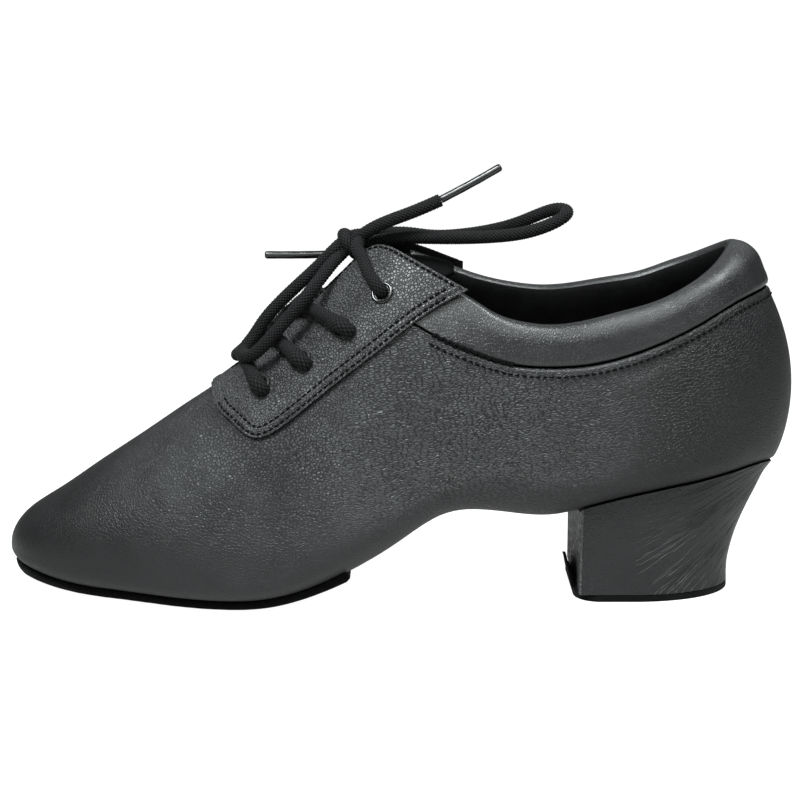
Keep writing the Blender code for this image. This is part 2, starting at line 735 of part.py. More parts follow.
def build_heel(group):
    """Cuban heel block, cupped under the seat."""
    foot = TIP_THICK + GAP
    builder = bmesh.new()
    rings = []
    outline = heel_outline(1.0, BREAST)
    tops = [seat_height(*spot) - SEAT_GAP for spot in outline]
    for row in HEEL:
        ring = []
        for (station, out), top in zip(heel_outline(row.level, BREAST), tops):
            height = foot + row.level * (top - foot)
            ring.append(builder.verts.new(Vector((station - LENGTH / 2.0, out, height)) * MM))
        rings.append(ring)
    centre = (0.5 * (BREAST + HEEL[-1].back), 0.0)
    for share in SEAT_RINGS:
        ring = []
        for station, out in outline:
            spot = (centre[0] + share * (station - centre[0]), share * out)
            height = seat_height(*spot) - SEAT_GAP
            ring.append(builder.verts.new(Vector((spot[0] - LENGTH / 2.0, spot[1], height)) * MM))
        rings.append(ring)
    count = len(outline)
    for low, high in zip(rings, rings[1:]):
        for k in range(count):
            after = (k + 1) % count
            builder.faces.new((low[k], low[after], high[after], high[k]))
    builder.faces.new(rings[0][::-1])
    middle = Vector((centre[0] - LENGTH / 2.0, 0.0, seat_height(*centre) - SEAT_GAP)) * MM
    peak = builder.verts.new(middle)
    for k in range(count):
        builder.faces.new((rings[-1][k], rings[-1][(k + 1) % count], peak))
    bmesh.ops.recalc_face_normals(builder, faces=builder.faces)
    return new_object("heel", mesh_from("heel", builder), BLACK_LEATHER, group)


def tip_outline():
    """Plan of the heel tip: the heel's foot with rounded front corners."""
    half = HEEL[0].half
    outline = [spot for spot in heel_outline(0.0, TIP_FRONT) if spot[0] > TIP_FRONT + TIP_CORNER]
    corner = []
    for k in range(TIP_CORNER_STEPS + 1):
        angle = 0.5 * math.pi * k / TIP_CORNER_STEPS
        station = TIP_FRONT + TIP_CORNER * (1.0 - math.cos(angle))
        corner.append((station, half - TIP_CORNER * (1.0 - math.sin(angle))))
    lateral = [(station, -out) for station, out in corner]
    return lateral + outline + corner[::-1]


def build_heel_tip(group):
    """Flat suede tip with a half-round tab folded up the breast."""
    builder = bmesh.new()
    floor = [Vector((station - LENGTH / 2.0, out, 0.0)) * MM for station, out in tip_outline()]
    face = builder.faces.new([builder.verts.new(corner) for corner in floor])
    raised = bmesh.ops.extrude_face_region(builder, geom=[face])
    corners = [part for part in raised["geom"] if isinstance(part, bmesh.types.BMVert)]
    bmesh.ops.translate(builder, verts=corners, vec=(0.0, 0.0, TIP_THICK * MM))
    bmesh.ops.recalc_face_normals(builder, faces=builder.faces)
    item = new_object("heel_tip", mesh_from("heel_tip", builder), SUEDE, group)
    columns = []
    for k in range(TAB_COLUMNS + 1):
        share = -1.0 + 2.0 * k / TAB_COLUMNS
        top = TAB_SHOULDER + (TAB_HIGH - TAB_SHOULDER) * math.sqrt(max(1.0 - share * share, 0.0))
        column = []
        for row in range(TAB_ROWS + 1):
            height = TAB_FOOT + (top - TAB_FOOT) * row / TAB_ROWS
            slant = TAB_LEAN * (height / TAB_HIGH) ** TAB_CURL
            place = BREAST - TAB_GAP - slant - LENGTH / 2.0
            column.append(np.array((place, share * TAB_HALF, height)))
        columns.append(column)
    tab = skin("tab", [(LATERAL, columns)], None, group)
    thicken(tab, -TAB_THICK)
    settle(tab)
    combine(item, tab, 'UNION')
    return item


def build_eyelets(group, cutter_group):
    """Turned rings in the flaps, with the cutters for their holes."""
    profile = ((EYELET_HOLE, -EYELET_DEEP), (EYELET_HOLE, 0.0), (EYELET_CREST, EYELET_CREST_HIGH),
               (EYELET_RIM, 0.0), (EYELET_BARREL, 0.0), (EYELET_BARREL, -EYELET_DEEP))
    cutters = []
    for side, word in ((LATERAL, "lateral"), (MEDIAL, "medial")):
        for eyelet in EYELETS:
            builder = bmesh.new()
            points = [builder.verts.new(Vector((radius, 0.0, height)) * MM) for radius, height in profile]
            for first, second in zip(points, points[1:] + points[:1]):
                builder.edges.new((first, second))
            name = "eyelet_%s_%d" % (word, eyelet.number)
            ring = new_object(name, mesh_from(name, builder), RING_METAL, group)
            turn = ring.modifiers.new("Turn", 'SCREW')
            turn.steps = EYELET_STEPS
            turn.render_steps = EYELET_STEPS
            turn.use_merge_vertices = True
            turn.merge_threshold = 0.00001
            settle(ring)
            ring.data.transform(eyelet_frame(side, eyelet, EYESTAY_LIFT + EYESTAY_THICK + GAP))
            smooth(ring)
            bpy.ops.mesh.primitive_cylinder_add(
                vertices=EYELET_CUT_STEPS, radius=EYELET_CUT * MM, depth=EYELET_CUT_DEEP * MM)
            cutter = bpy.context.object
            cutter.name = "hole_%s_%d" % (word, eyelet.number)
            cutter.data.transform(eyelet_frame(side, eyelet, 0.0))
            for owner in cutter.users_collection:
                owner.objects.unlink(cutter)
            cutter_group.objects.link(cutter)
            cutter.hide_render = True
            cutter.display_type = 'WIRE'
            cutters.append(cutter)
    return cutters


def flow(points, spacing):
    """Points at even distances along a smooth curve through a route."""
    route = np.asarray(points, float)
    reach = np.concatenate(([0.0], np.cumsum(np.linalg.norm(np.diff(route, axis=0), axis=1))))
    at = spline(reach, route)
    count = max(int(round(reach[-1] / spacing)), 2)
    return [at(mark) for mark in np.linspace(0.0, reach[-1], count + 1)]


def cord(name, points, radius, finish, group):
    """Round cord along a route, as a mesh with welded ends."""
    path = flow(points, CORD_STEP)
    curve = bpy.data.curves.new(name, 'CURVE')
    curve.dimensions = '3D'
    curve.bevel_depth = radius * MM
    curve.bevel_resolution = 2
    curve.use_fill_caps = True
    line = curve.splines.new('POLY')
    line.points.add(len(path) - 1)
    for knot, point in zip(line.points, path):
        knot.co = (*(Vector(point) * MM), 1.0)
    guide = new_object(name + "_route", curve, None, group)
    data = bpy.data.meshes.new_from_object(guide.evaluated_get(bpy.context.evaluated_depsgraph_get()))
    bpy.data.objects.remove(guide)
    builder = bmesh.new()
    builder.from_mesh(data)
    bmesh.ops.remove_doubles(builder, verts=builder.verts, dist=0.001 * MM)
    builder.to_mesh(data)
    builder.free()
    solid = new_object(name, data, finish, group)
    smooth(solid)
    return solid


def strand_point(side, station, out, sunk):
    """Point of the lace above the last, sunk towards the tongue between the flaps."""
    angle = angle_at_width(side, station, max(out, AXIS_REACH))
    return surface(side, station, angle) + outward(side, station, angle) * (LACE_LIFT - sunk)


def strand_sunk(side, station, out):
    """How deep the lace lies between the flaps, less where the throat is narrow."""
    throat = THROAT_LINE(min(max(station, THROAT_START), FLAP_CORNER))
    room = max(min(throat) - STRAND_ROOM, 0.0)
    return min(STRAND_SINK * room, STRAND_LOWEST) * (1.0 - ramp(out, 0.0, pick(side, throat)))


def over_flap(eyelet, side):
    """Route of a strand from the throat's middle over one flap's edge onto its eyelet."""
    place = surface(side, eyelet.station, angle_at_height(eyelet.station, eyelet.height))
    reach = abs(place[1] - section(eyelet.station).axis) + EYELET_COVER
    route = []
    for spot in STRAND:
        station = eyelet.station - eyelet.ahead * (1.0 - spot.share)
        out = spot.share * reach
        route.append(strand_point(side, station, out, strand_sunk(side, station, out) - spot.rise))
    return route


def build_lace(group):
    """Bar and crossings of the lace over the throat."""
    low = EYELETS[3]
    cord("lace_bar", over_flap(low, LATERAL)[::-1] + over_flap(low, MEDIAL), LACE_RADIUS, BRAID, group)
    for name, eyelet in (("lace_cross_lower", EYELETS[2]), ("lace_cross_upper", EYELETS[1])):
        strands = []
        for side in (LATERAL, MEDIAL):
            station = eyelet.station - eyelet.ahead - CROSS_TAIL
            tail = strand_point(-side, station, CROSS_TAIL, strand_sunk(-side, station, CROSS_TAIL) + CROSS_SUNK)
            strands.append(cord(name, [tail] + over_flap(eyelet, side), LACE_RADIUS, BRAID, group))
        combine(strands[0], strands[1], 'UNION')


def riser(side):
    """Lace from the top eyelet up over the flap's edge to the knot."""
    eyelet = EYELETS[0]
    points = []
    for spot in RISER:
        height = eyelet.height + pick(side, (spot.lateral, spot.medial))
        points.append(above(side, eyelet.station - spot.ahead, height, LACE_LIFT + spot.lift))
    back, out, up = RISER_INTO_KNOT
    points.append(np.array(KNOT_AT) + np.array((back, side * out, up)))
    return points


def build_bow(group):
    """Knot with its two risers, two loops and two tipped ends."""
    bpy.ops.mesh.primitive_uv_sphere_add(segments=KNOT_SEGMENTS, ring_count=KNOT_RINGS, radius=MM)
    ball = bpy.context.object
    for owner in ball.users_collection:
        owner.objects.unlink(ball)
    ball.data.transform(Matrix.Translation(Vector(KNOT_AT) * MM) @ Matrix.Diagonal((*KNOT_SIZE, 1.0)))
    knot = new_object("lace_knot", ball.data.copy(), BRAID, group)
    bpy.data.objects.remove(ball)
    smooth(knot)
    for side in (LATERAL, MEDIAL):
        combine(knot, cord("riser", riser(side), LACE_RADIUS, BRAID, group), 'UNION')
    cord("lace_loop_front", LOOP_FRONT, LACE_RADIUS, BRAID, group)
    cord("lace_loop_back", LOOP_BACK, LACE_RADIUS, BRAID, group)
    cord("lace_end_front", END_FRONT, LACE_RADIUS, BRAID, group)
    cord("lace_end_back", END_BACK, LACE_RADIUS, BRAID, group)
    cord("aglet_front", AGLET_FRONT, AGLET_RADIUS, AGLET_SKIN, group)
    cord("aglet_back", AGLET_BACK, AGLET_RADIUS, AGLET_SKIN, group)


def main():
    """Build the shoe."""
    for item in list(bpy.data.objects):
        bpy.data.objects.remove(item)
    group = bpy.data.collections.new("latin dance shoe")
    cutter_group = bpy.data.collections.new("cutters")
    bpy.context.scene.collection.children.link(group)
    bpy.context.scene.collection.children.link(cutter_group)
    upper = build_upper(group)
    build_outsole(group)
    build_insole(group)
    build_tongue(group)
    eyestay = build_eyestay(group)
    cutters = build_eyelets(group, cutter_group)
    drill(upper, cutters)
    drill(eyestay, cutters)
    build_collar(group)
    build_heel(group)
    build_heel_tip(group)
    build_lace(group)
    build_bow(group)


main()
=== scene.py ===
"""Black leather latin dance shoe for the left foot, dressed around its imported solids.

Metres, Z up, floor at Z = 0. The toe points to -X and the outer (lateral) side faces -Y. Sizes and tables
are in millimetres. A station is the distance from the toe's nose along the shoe.
"""
import logging
import math
from dataclasses import dataclass, field
from enum import Enum
from typing import Callable, Iterable, Sequence

import bpy
import numpy as np
from mathutils import Matrix, Vector


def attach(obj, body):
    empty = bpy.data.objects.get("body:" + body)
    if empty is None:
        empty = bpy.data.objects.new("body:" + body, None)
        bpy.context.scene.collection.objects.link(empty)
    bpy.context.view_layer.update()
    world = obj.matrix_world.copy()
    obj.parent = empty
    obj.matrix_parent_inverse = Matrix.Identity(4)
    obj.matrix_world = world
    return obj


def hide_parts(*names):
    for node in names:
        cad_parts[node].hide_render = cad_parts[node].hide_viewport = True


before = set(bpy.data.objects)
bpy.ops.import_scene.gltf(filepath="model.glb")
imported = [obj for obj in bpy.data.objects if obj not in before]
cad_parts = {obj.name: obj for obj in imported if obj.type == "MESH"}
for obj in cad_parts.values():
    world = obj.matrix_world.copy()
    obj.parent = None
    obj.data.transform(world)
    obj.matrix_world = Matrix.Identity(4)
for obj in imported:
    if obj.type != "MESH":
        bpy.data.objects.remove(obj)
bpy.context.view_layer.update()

LOG = logging.getLogger("dance_shoe")
MM = 0.001
# clearance between pieces that touch
GAP = 0.3
QUARTER = math.pi / 2.0
SHARP = math.radians(50.0)
Array = np.ndarray
Values = np.ndarray | float
Piece = bpy.types.Object
Material = bpy.types.Material
Node = bpy.types.Node
Socket = bpy.types.NodeSocket


class Side(Enum):
    """Side of the foot, as the sign of Y."""

    LATERAL = -1
    MEDIAL = 1

    def pick(self, pair: Sequence[float]) -> float:
        """The lateral or medial one of two values."""
        return pair[0] if self is Side.LATERAL else pair[1]


class Slot(Enum):
    """Material slots of the record."""

    UPPER = "upper_leather"
    COLLAR = "collar_leather"
    HEEL = "heel_cover"
    LINING = "lining"
    SUEDE = "suede"
    METAL = "eyelet_metal"
    BRAID = "lace_braid"
    AGLET = "aglet_sleeve"


def ramp(value: Values, start: float, stop: float) -> Array:
    """Smooth step from 0 at start to 1 at stop."""
    share = np.clip((np.asarray(value, float) - start) / (stop - start), 0.0, 1.0)
    return share * share * (3.0 - 2.0 * share)


def hump(value: Array, centre: float, width: float) -> Array:
    """Soft bump of height 1 about a centre."""
    return np.exp(-((np.asarray(value, float) - centre) / width) ** 2)


def rounded(edge: Array, radius: float) -> Array:
    """Drop of a rounded edge at distances from it."""
    share = np.clip(1.0 - edge / radius, 0.0, 1.0)
    return radius * (1.0 - np.sqrt(1.0 - share ** 2))


def way_along(points: Array) -> Array:
    """Way from the first point along a line, or along each of several lines."""
    steps = np.linalg.norm(np.diff(points, axis=-2), axis=-1)
    start = np.zeros(steps.shape[:-1] + (1,))
    return np.concatenate((start, np.cumsum(steps, axis=-1)), axis=-1)


class Curve:
    """Natural cubic spline through rows of values."""

    def __init__(self, knots: Sequence[float], values: Sequence) -> None:
        """Solve the spline's bends.

        Args:
            knots: rising positions.
            values: one row of values for each knot.
        """
        self.knots = np.asarray(knots, float)
        self.values = np.asarray(values, float)
        self.steps = np.diff(self.knots)
        system = np.eye(len(self.knots))
        right = np.zeros_like(self.values)
        for i in range(1, len(self.knots) - 1):
            before, after = self.steps[i - 1], self.steps[i]
            system[i, i - 1:i + 2] = before, 2.0 * (before + after), after
            slope = (self.values[i + 1] - self.values[i]) / after
            right[i] = 6.0 * (slope - (self.values[i] - self.values[i - 1]) / before)
        self.bends = np.linalg.solve(system, right)

    def __call__(self, at: Values) -> Array:
        """Values at one or more positions."""
        at = np.asarray(at, float)
        i = np.clip(np.searchsorted(self.knots, at) - 1, 0, len(self.steps) - 1)
        step = self.steps[i]
        a = ((self.knots[i + 1] - at) / step)[..., None]
        b = 1.0 - a
        cubic = (a ** 3 - a) * self.bends[i] + (b ** 3 - b) * self.bends[i + 1]
        return a * self.values[i] + b * self.values[i + 1] + cubic * (step ** 2 / 6.0)[..., None]


def table_curve(rows: Sequence[Sequence[float]]) -> Curve:
    """Spline of a table's later columns over its first."""
    return Curve([row[0] for row in rows], [row[1:] for row in rows])


@dataclass
class Section:
    """Cross sections of the last at one or more stations."""

    axis: Array
    lateral: Array
    medial: Array
    bottom: Array
    belt: Array
    ridge: Array
    crown: Array
    tread: Array

    def half(self, side: Side) -> Array:
        """Half width on one side."""
        return np.maximum(side.pick((self.lateral, self.medial)), 0.0)


@dataclass
class Half:
    """One side of a leather sheet: a grid of stations and rows on the last."""

    side: Side
    station: Array
    points: Array
    normals: Array

    def from_low(self) -> Array:
        """Way along each column from its first row."""
        return way_along(self.points)

    def from_top(self) -> Array:
        """Way along each column from its last row."""
        low = self.from_low()
        return low[:, -1:] - low


@dataclass
class Last:
    """Foot form that every leather piece is cut from."""

    length: float = 278.0
    wall: float = 1.6
    heel_bulge: float = 72.0
    heel_curve: float = 66.0
    heel_curve_from: float = 185.0
    samples: int = 161
    nearest: float = 0.35
    normal_step: float = 0.01
    pole: float = 0.05
    end_zone: float = 0.02
    middle_zone: float = 0.001
    # station, axis, lateral and medial half width, bottom, belt, ridge, roundness of crown and of tread
    rows: tuple = (
        (0.0, 5.0, 0.0, 0.0, 14.5, 14.5, 14.5, 2.2, 3.0),
        (6.0, 4.9, 17.5, 16.5, 9.4, 14.6, 26.0, 2.2, 3.2),
        (20.0, 4.7, 28.7, 27.3, 5.4, 15.2, 35.2, 2.15, 3.6),
        (33.0, 4.4, 34.9, 34.1, 4.2, 16.0, 44.2, 2.1, 4.0),
        (48.0, 4.0, 39.5, 38.8, 3.7, 16.8, 54.2, 2.0, 4.4),
        (64.0, 3.5, 43.3, 42.1, 2.9, 17.2, 65.2, 1.95, 4.8),
        (80.0, 3.0, 46.0, 43.8, 2.5, 17.8, 76.2, 1.85, 4.8),
        (95.0, 2.5, 48.0, 43.5, 3.5, 19.5, 89.0, 1.78, 4.4),
        (110.0, 2.0, 48.8, 41.2, 7.2, 24.5, 104.0, 1.72, 3.8),
        (125.0, 1.5, 47.3, 37.5, 12.7, 33.5, 121.0, 1.72, 3.3),
        (140.0, 1.0, 44.5, 34.2, 20.8, 43.5, 133.5, 1.78, 2.9),
        (155.0, 0.5, 41.3, 32.2, 30.0, 50.5, 137.5, 1.85, 2.8),
        (170.0, 0.0, 38.2, 31.6, 31.0, 54.5, 138.5, 1.95, 2.8),
        (190.0, 0.0, 35.6, 31.5, 28.8, 58.0, 137.5, 2.0, 3.1),
        (210.0, 0.0, 34.2, 31.9, 33.8, 62.0, 135.5, 2.0, 4.2),
        (230.0, 0.0, 33.4, 32.2, 38.4, 66.0, 132.5, 2.0, 4.5),
        (250.0, 0.0, 30.0, 29.3, 41.8, 70.0, 135.0, 2.0, 4.5),
        (265.0, 0.0, 22.0, 21.6, 44.6, 71.5, 138.0, 2.0, 4.2),
        (278.0, 0.0, 0.0, 0.0, 47.2, 72.0, 139.0, 2.0, 3.5))
    line: Curve = field(init=False)

    def __post_init__(self) -> None:
        """Run a spline through the sections."""
        turns = self.turn([row[0] for row in self.rows])
        self.line = Curve(turns, [row[1:] for row in self.rows])

    def turn(self, station: Values) -> Array:
        """Angle of a station round the shoe's plan, 0 at the nose and pi at the heel."""
        return np.arccos(np.clip(1.0 - 2.0 * np.asarray(station, float) / self.length, -1.0, 1.0))

    def at_turn(self, turn: Array) -> Array:
        """Station at an angle round the plan."""
        return self.length * (1.0 - np.cos(turn)) / 2.0

    def stations(self, first: float, last: float, count: int, fixed: Iterable[float] = ()) -> Array:
        """Stations that lie closer together towards the nose and the heel.

        Args:
            first: first station.
            last: last station.
            count: number of even turns between them.
            fixed: further stations that have to be among them.

        Returns:
            Rising stations.
        """
        even = self.at_turn(np.linspace(self.turn(first), self.turn(last), count))
        even[0], even[-1] = first, last
        marks = np.array([mark for mark in fixed if first <= mark <= last])
        if len(marks):
            near = np.min(np.abs(even[:, None] - marks), axis=1) < self.nearest
            near[0] = near[-1] = False
            even = np.union1d(even[~near], marks)
        return even

    def section(self, station: Values) -> Section:
        """The last's sections at stations."""
        return Section(*np.moveaxis(self.line(self.turn(station)), -1, 0))

    def lean(self, station: Array, height: Array) -> Array:
        """How far the curve of the heel's back draws a point forward."""
        share = ramp(station, self.heel_curve_from, self.length)
        return -share * (height - self.heel_bulge) ** 2 / (2.0 * self.heel_curve)

    def surface(self, side: Side, station: Array, angle: Array) -> Array:
        """Points of the last's outside.

        Args:
            side: side of the foot.
            station: stations.
            angle: -pi/2 at the bottom's middle, 0 at the belt and pi/2 at the ridge.

        Returns:
            Points, one row each.
        """
        station, angle = np.broadcast_arrays(np.asarray(station, float), np.asarray(angle, float))
        cut = self.section(station)
        over = angle >= 0.0
        power = 2.0 / np.where(over, cut.crown, cut.tread)
        out = cut.half(side) * np.maximum(np.cos(angle), 0.0) ** power
        rise = np.abs(np.sin(angle)) ** power
        height = cut.belt + np.where(over, cut.ridge - cut.belt, cut.bottom - cut.belt) * rise
        along = station + self.lean(station, height) - self.length / 2.0
        return np.stack((along, cut.axis + side.value * out, height), axis=-1)

    def outward(self, side: Side, station: Array, angle: Array) -> Array:
        """Unit normals of the last's outside, as surface places its points.

        Args:
            side: side of the foot.
            station: stations.
            angle: angles as for surface.

        Returns:
            Normals, one row each.
        """
        station, angle = np.broadcast_arrays(np.asarray(station, float), np.asarray(angle, float))
        turn = np.clip(self.turn(station), self.pole, math.pi - self.pole)
        step = self.normal_step
        along = (self.surface(side, self.at_turn(turn + step), angle)
                 - self.surface(side, self.at_turn(turn - step), angle))
        here = self.at_turn(turn)
        up = (self.surface(side, here, np.minimum(angle + step, QUARTER))
              - self.surface(side, here, np.maximum(angle - step, -QUARTER)))
        normal = np.cross(along, up) * -side.value
        nose, heel = station < self.end_zone, station > self.length - self.end_zone
        middle = nose | heel | (np.abs(angle) > QUARTER - self.middle_zone)
        normal[..., 1] = np.where(middle, 0.0, normal[..., 1])
        normal[nose] = (-1.0, 0.0, 0.0)
        return normal / np.linalg.norm(normal, axis=-1, keepdims=True)

    def angle_at_height(self, station: Values, height: Values) -> Array:
        """Angle at which the last's side reaches a height."""
        cut = self.section(station)
        up = np.clip((height - cut.belt) / (cut.ridge - cut.belt + 1e-9), 0.0, 1.0) ** (cut.crown / 2.0)
        down = np.clip((cut.belt - height) / (cut.belt - cut.bottom + 1e-9), 0.0, 1.0) ** (cut.tread / 2.0)
        return np.where(np.asarray(height) >= cut.belt, np.arcsin(up), -np.arcsin(down))

    def angle_at_width(self, side: Side, station: Values, out: Values, below: bool = False) -> Array:
        """Angle at which the last's side lies a distance out of its axis."""
        cut = self.section(station)
        share = np.clip(out / np.maximum(cut.half(side), 1e-6), 0.0, 1.0)
        angle = np.arccos(share ** ((cut.tread if below else cut.crown) / 2.0))
        return -angle if below else angle

    def spot(self, side: Side, station: Values, height: Values) -> tuple[Array, Array]:
        """Points and normals of the last's side at heights."""
        angle = self.angle_at_height(station, height)
        return self.surface(side, station, angle), self.outward(side, station, angle)

    def above(self, side: Side, station: Values, height: Values, lift: Values) -> Array:
        """Points at a distance off the last's side."""
        place, normal = self.spot(side, station, height)
        return place + normal * np.asarray(lift)[..., None]

    def spread(self, side: Side, stations: Array, start: Array, stop: Array, shares: Array) -> Array:
        """Angles at shares of the way along each section.

        Args:
            side: side of the foot.
            stations: stations of the columns.
            start: first angle of each column.
            stop: last angle of each column.
            shares: shares of the way, from 0 to 1.

        Returns:
            One row of angles for each station.
        """
        steps = np.linspace(0.0, 1.0, self.samples)
        angles = start[:, None] + (stop - start)[:, None] * steps
        reach = way_along(self.surface(side, stations[:, None], angles))
        rows = []
        for way, turned in zip(reach, angles):
            flat = way[-1] < 1e-6
            row = np.interp(shares, steps, turned) if flat else np.interp(shares * way[-1], way, turned)
            rows.append(row)
        return np.array(rows)

    def half(self, side: Side, stations: Array, angles: Array) -> Half:
        """Grid of points with normals at the given angles."""
        wide = np.broadcast_to(stations[:, None], angles.shape)
        return Half(side, wide, self.surface(side, wide, angles), self.outward(side, wide, angles))

    def under(self, side: Side, stations: Array, reach: Array, shares: Array) -> Half:
        """Grid of the last's underside, from its middle outwards."""
        stop = self.angle_at_width(side, stations, reach, below=True)
        start = np.full_like(stop, -QUARTER)
        return self.half(side, stations, self.spread(side, stations, start, stop, shares))


@dataclass
class Pattern:
    """Cut lines of the upper: throat, flaps, eyestay, collar and the openings underneath."""

    last: Last
    throat_start: float = 80.0
    flap_corner: float = 122.0
    flap_back: float = 140.5
    flap_tip: float = 163.0
    collar_front: float = 143.7
    tread_share: float = 0.84
    lasting_margin: float = 12.0
    openings: tuple = ((14.0, 118.0), (208.0, 262.0))
    # station, lateral and medial half width
    throat: tuple = ((80.0, 0.0, 0.0), (83.0, 3.0, 4.0), (88.0, 4.5, 7.0), (98.0, 5.8, 9.5),
                     (108.0, 7.5, 11.0), (122.0, 10.0, 12.5))
    # station, lateral and medial height
    flap_edge: tuple = ((128.0, 120.2, 119.5), (132.5, 122.7, 121.6), (137.0, 122.8, 122.2),
                        (142.0, 120.8, 121.0), (150.0, 116.7, 118.2), (157.0, 112.9, 115.2),
                        (163.0, 109.8, 112.8))
    # station, height
    stay_edge: tuple = ((74.1, 72.5), (77.0, 68.3), (83.0, 64.3), (88.0, 61.2), (92.0, 60.3), (97.0, 62.0),
                        (106.0, 68.5), (120.0, 80.0), (133.5, 90.6), (147.0, 101.0), (163.0, 109.8))
    # station, height of lateral and medial seam, height of lateral and medial top
    collar: tuple = (
        (143.0, 100.4, 103.5, 119.2, 119.8), (150.0, 96.5, 100.3, 115.6, 117.2),
        (157.0, 93.1, 97.4, 112.1, 114.3), (164.0, 90.3, 94.8, 108.4, 111.4),
        (172.0, 87.4, 92.3, 103.5, 108.8), (181.0, 85.4, 90.7, 100.5, 106.9),
        (191.0, 84.8, 90.2, 99.3, 105.8), (203.0, 85.4, 90.8, 100.6, 106.6),
        (216.0, 88.1, 92.9, 103.5, 108.6), (230.0, 92.7, 96.2, 106.7, 110.7),
        (245.0, 98.6, 100.9, 111.6, 114.6), (262.0, 105.0, 105.8, 118.0, 119.4),
        (278.0, 108.6, 108.6, 125.4, 125.4))
    # number, station, height, way that the lace crosses the throat towards the toe
    eyelets: tuple = ((1, 134.8, 108.3, 0.0), (2, 122.0, 96.6, 22.0), (3, 107.6, 85.0, 16.0),
                      (4, 93.5, 75.8, 8.5))
    lines: dict = field(init=False)

    def __post_init__(self) -> None:
        """Run splines through the tables."""
        names = ("throat", "flap_edge", "stay_edge", "collar")
        self.lines = {name: table_curve(getattr(self, name)) for name in names}

    def flap_angle(self, side: Side, station: float) -> float:
        """Angle of the throat's edge and of the flap's top edge.

        Args:
            side: side of the foot.
            station: a station.

        Returns:
            The angle.
        """
        if station <= self.throat_start:
            return QUARTER
        if station <= self.flap_corner:
            return float(self.last.angle_at_width(side, station, side.pick(self.lines["throat"](station))))
        first = self.flap_edge[0][0]
        if station < first:
            share = (station - self.flap_corner) / (first - self.flap_corner)
            corner = self.flap_angle(side, self.flap_corner)
            return (1.0 - share) * corner + share * self.flap_angle(side, first)
        return float(self.last.angle_at_height(station, side.pick(self.lines["flap_edge"](station))))

    def stay_angle(self, side: Side, station: float) -> float:
        """Angle of the eyestay's lower edge."""
        low = float(self.last.angle_at_height(station, self.lines["stay_edge"](station)[0]))
        return min(low, self.flap_angle(side, station))

    def seam_height(self, side: Side, station: Values) -> Array:
        """Height of the collar's lower seam."""
        return self.lines["collar"](station)[..., 0 if side is Side.LATERAL else 1]

    def top_height(self, side: Side, station: Values) -> Array:
        """Height of the collar's top."""
        return self.lines["collar"](station)[..., 2 if side is Side.LATERAL else 3]

    def upper_top(self, side: Side, station: float) -> float:
        """Angle of the upper's top edge: ridge, then throat and flap, then collar seam."""
        if station <= self.flap_back:
            return self.flap_angle(side, station)
        seam = float(self.last.angle_at_height(station, self.seam_height(side, station) - GAP))
        blend = float(ramp(station, self.flap_back, self.collar_front))
        return (1.0 - blend) * self.flap_angle(side, station) + blend * seam if blend < 1.0 else seam

    def upper_bottom(self, side: Side, station: float) -> float:
        """Angle of the lasting margin's inner edge, or of the bottom's middle where the leather closes."""
        for first, last in self.openings:
            if first < station < last:
                share = (2.0 * station - first - last) / (last - first)
                half = float(self.last.section(station).half(side))
                out = (self.tread_share * half - self.lasting_margin) * math.sqrt(1.0 - share ** 6)
                return float(self.last.angle_at_width(side, station, max(out, 0.0), below=True))
        return -QUARTER

    def edge(self, side: Side, stations: Array,
             angle_at: Callable[[Side, float], float]) -> tuple[Array, Array]:
        """Points and normals of a cut line.

        Args:
            side: side of the foot.
            stations: stations of its points.
            angle_at: angle of the line at a side and station.

        Returns:
            Points and normals.
        """
        angles = np.array([angle_at(side, station) for station in stations])
        return self.last.surface(side, stations, angles), self.last.outward(side, stations, angles)


@dataclass(frozen=True)
class Fold:
    """Soft trough with raised banks along a line of stations and heights."""

    line: tuple
    width: float
    depth: float
    side: Side | None = None
    bank: float = 0.42
    bank_away: float = 1.9
    bank_wide: float = 0.9
    fade: float = 0.7

    def relief(self, side: Side, station: Array, height: Array) -> Array:
        """Height that the fold adds to a surface.

        Args:
            side: side of the foot.
            station: stations of the points.
            height: heights of the points.

        Returns:
            Offsets along the normals.
        """
        if self.side not in (None, side):
            return np.zeros_like(station)
        here = np.stack((station, height), axis=-1)
        best = np.full(station.shape, np.inf)
        along = np.zeros(station.shape)
        count = len(self.line) - 1
        for k in range(count):
            start, stop = np.array(self.line[k]), np.array(self.line[k + 1])
            run = stop - start
            share = np.clip((here - start) @ run / (run @ run), 0.0, 1.0)
            away = np.linalg.norm(here - start - share[..., None] * run, axis=-1)
            nearer = away < best
            best = np.where(nearer, away, best)
            along = np.where(nearer, (k + share) / count, along)
        fade = np.sin(np.pi * np.clip(along, 0.0, 1.0)) ** self.fade
        banks = self.bank * hump(best, self.bank_away * self.width, self.bank_wide * self.width)
        return -self.depth * fade * (hump(best, 0.0, self.width) - banks)


def deselect() -> None:
    """Leave no object selected."""
    if bpy.context.object and bpy.context.object.mode != 'OBJECT':
        bpy.ops.object.mode_set(mode='OBJECT')
    bpy.ops.object.select_all(action='DESELECT')


def activate(piece: Piece) -> None:
    """Select one object alone."""
    deselect()
    piece.select_set(True)
    bpy.context.view_layer.objects.active = piece


def join(pieces: Sequence[Piece]) -> Piece:
    """Join pieces into the first of them."""
    activate(pieces[0])
    for piece in pieces[1:]:
        piece.select_set(True)
    bpy.ops.object.join()
    return pieces[0]


def apply_modifier(piece: Piece, kind: str, **settings: object) -> None:
    """Add a modifier and apply it."""
    activate(piece)
    step = piece.modifiers.new(kind.title(), kind)
    for name, value in settings.items():
        setattr(step, name, value)
    bpy.ops.object.modifier_apply(modifier=step.name)


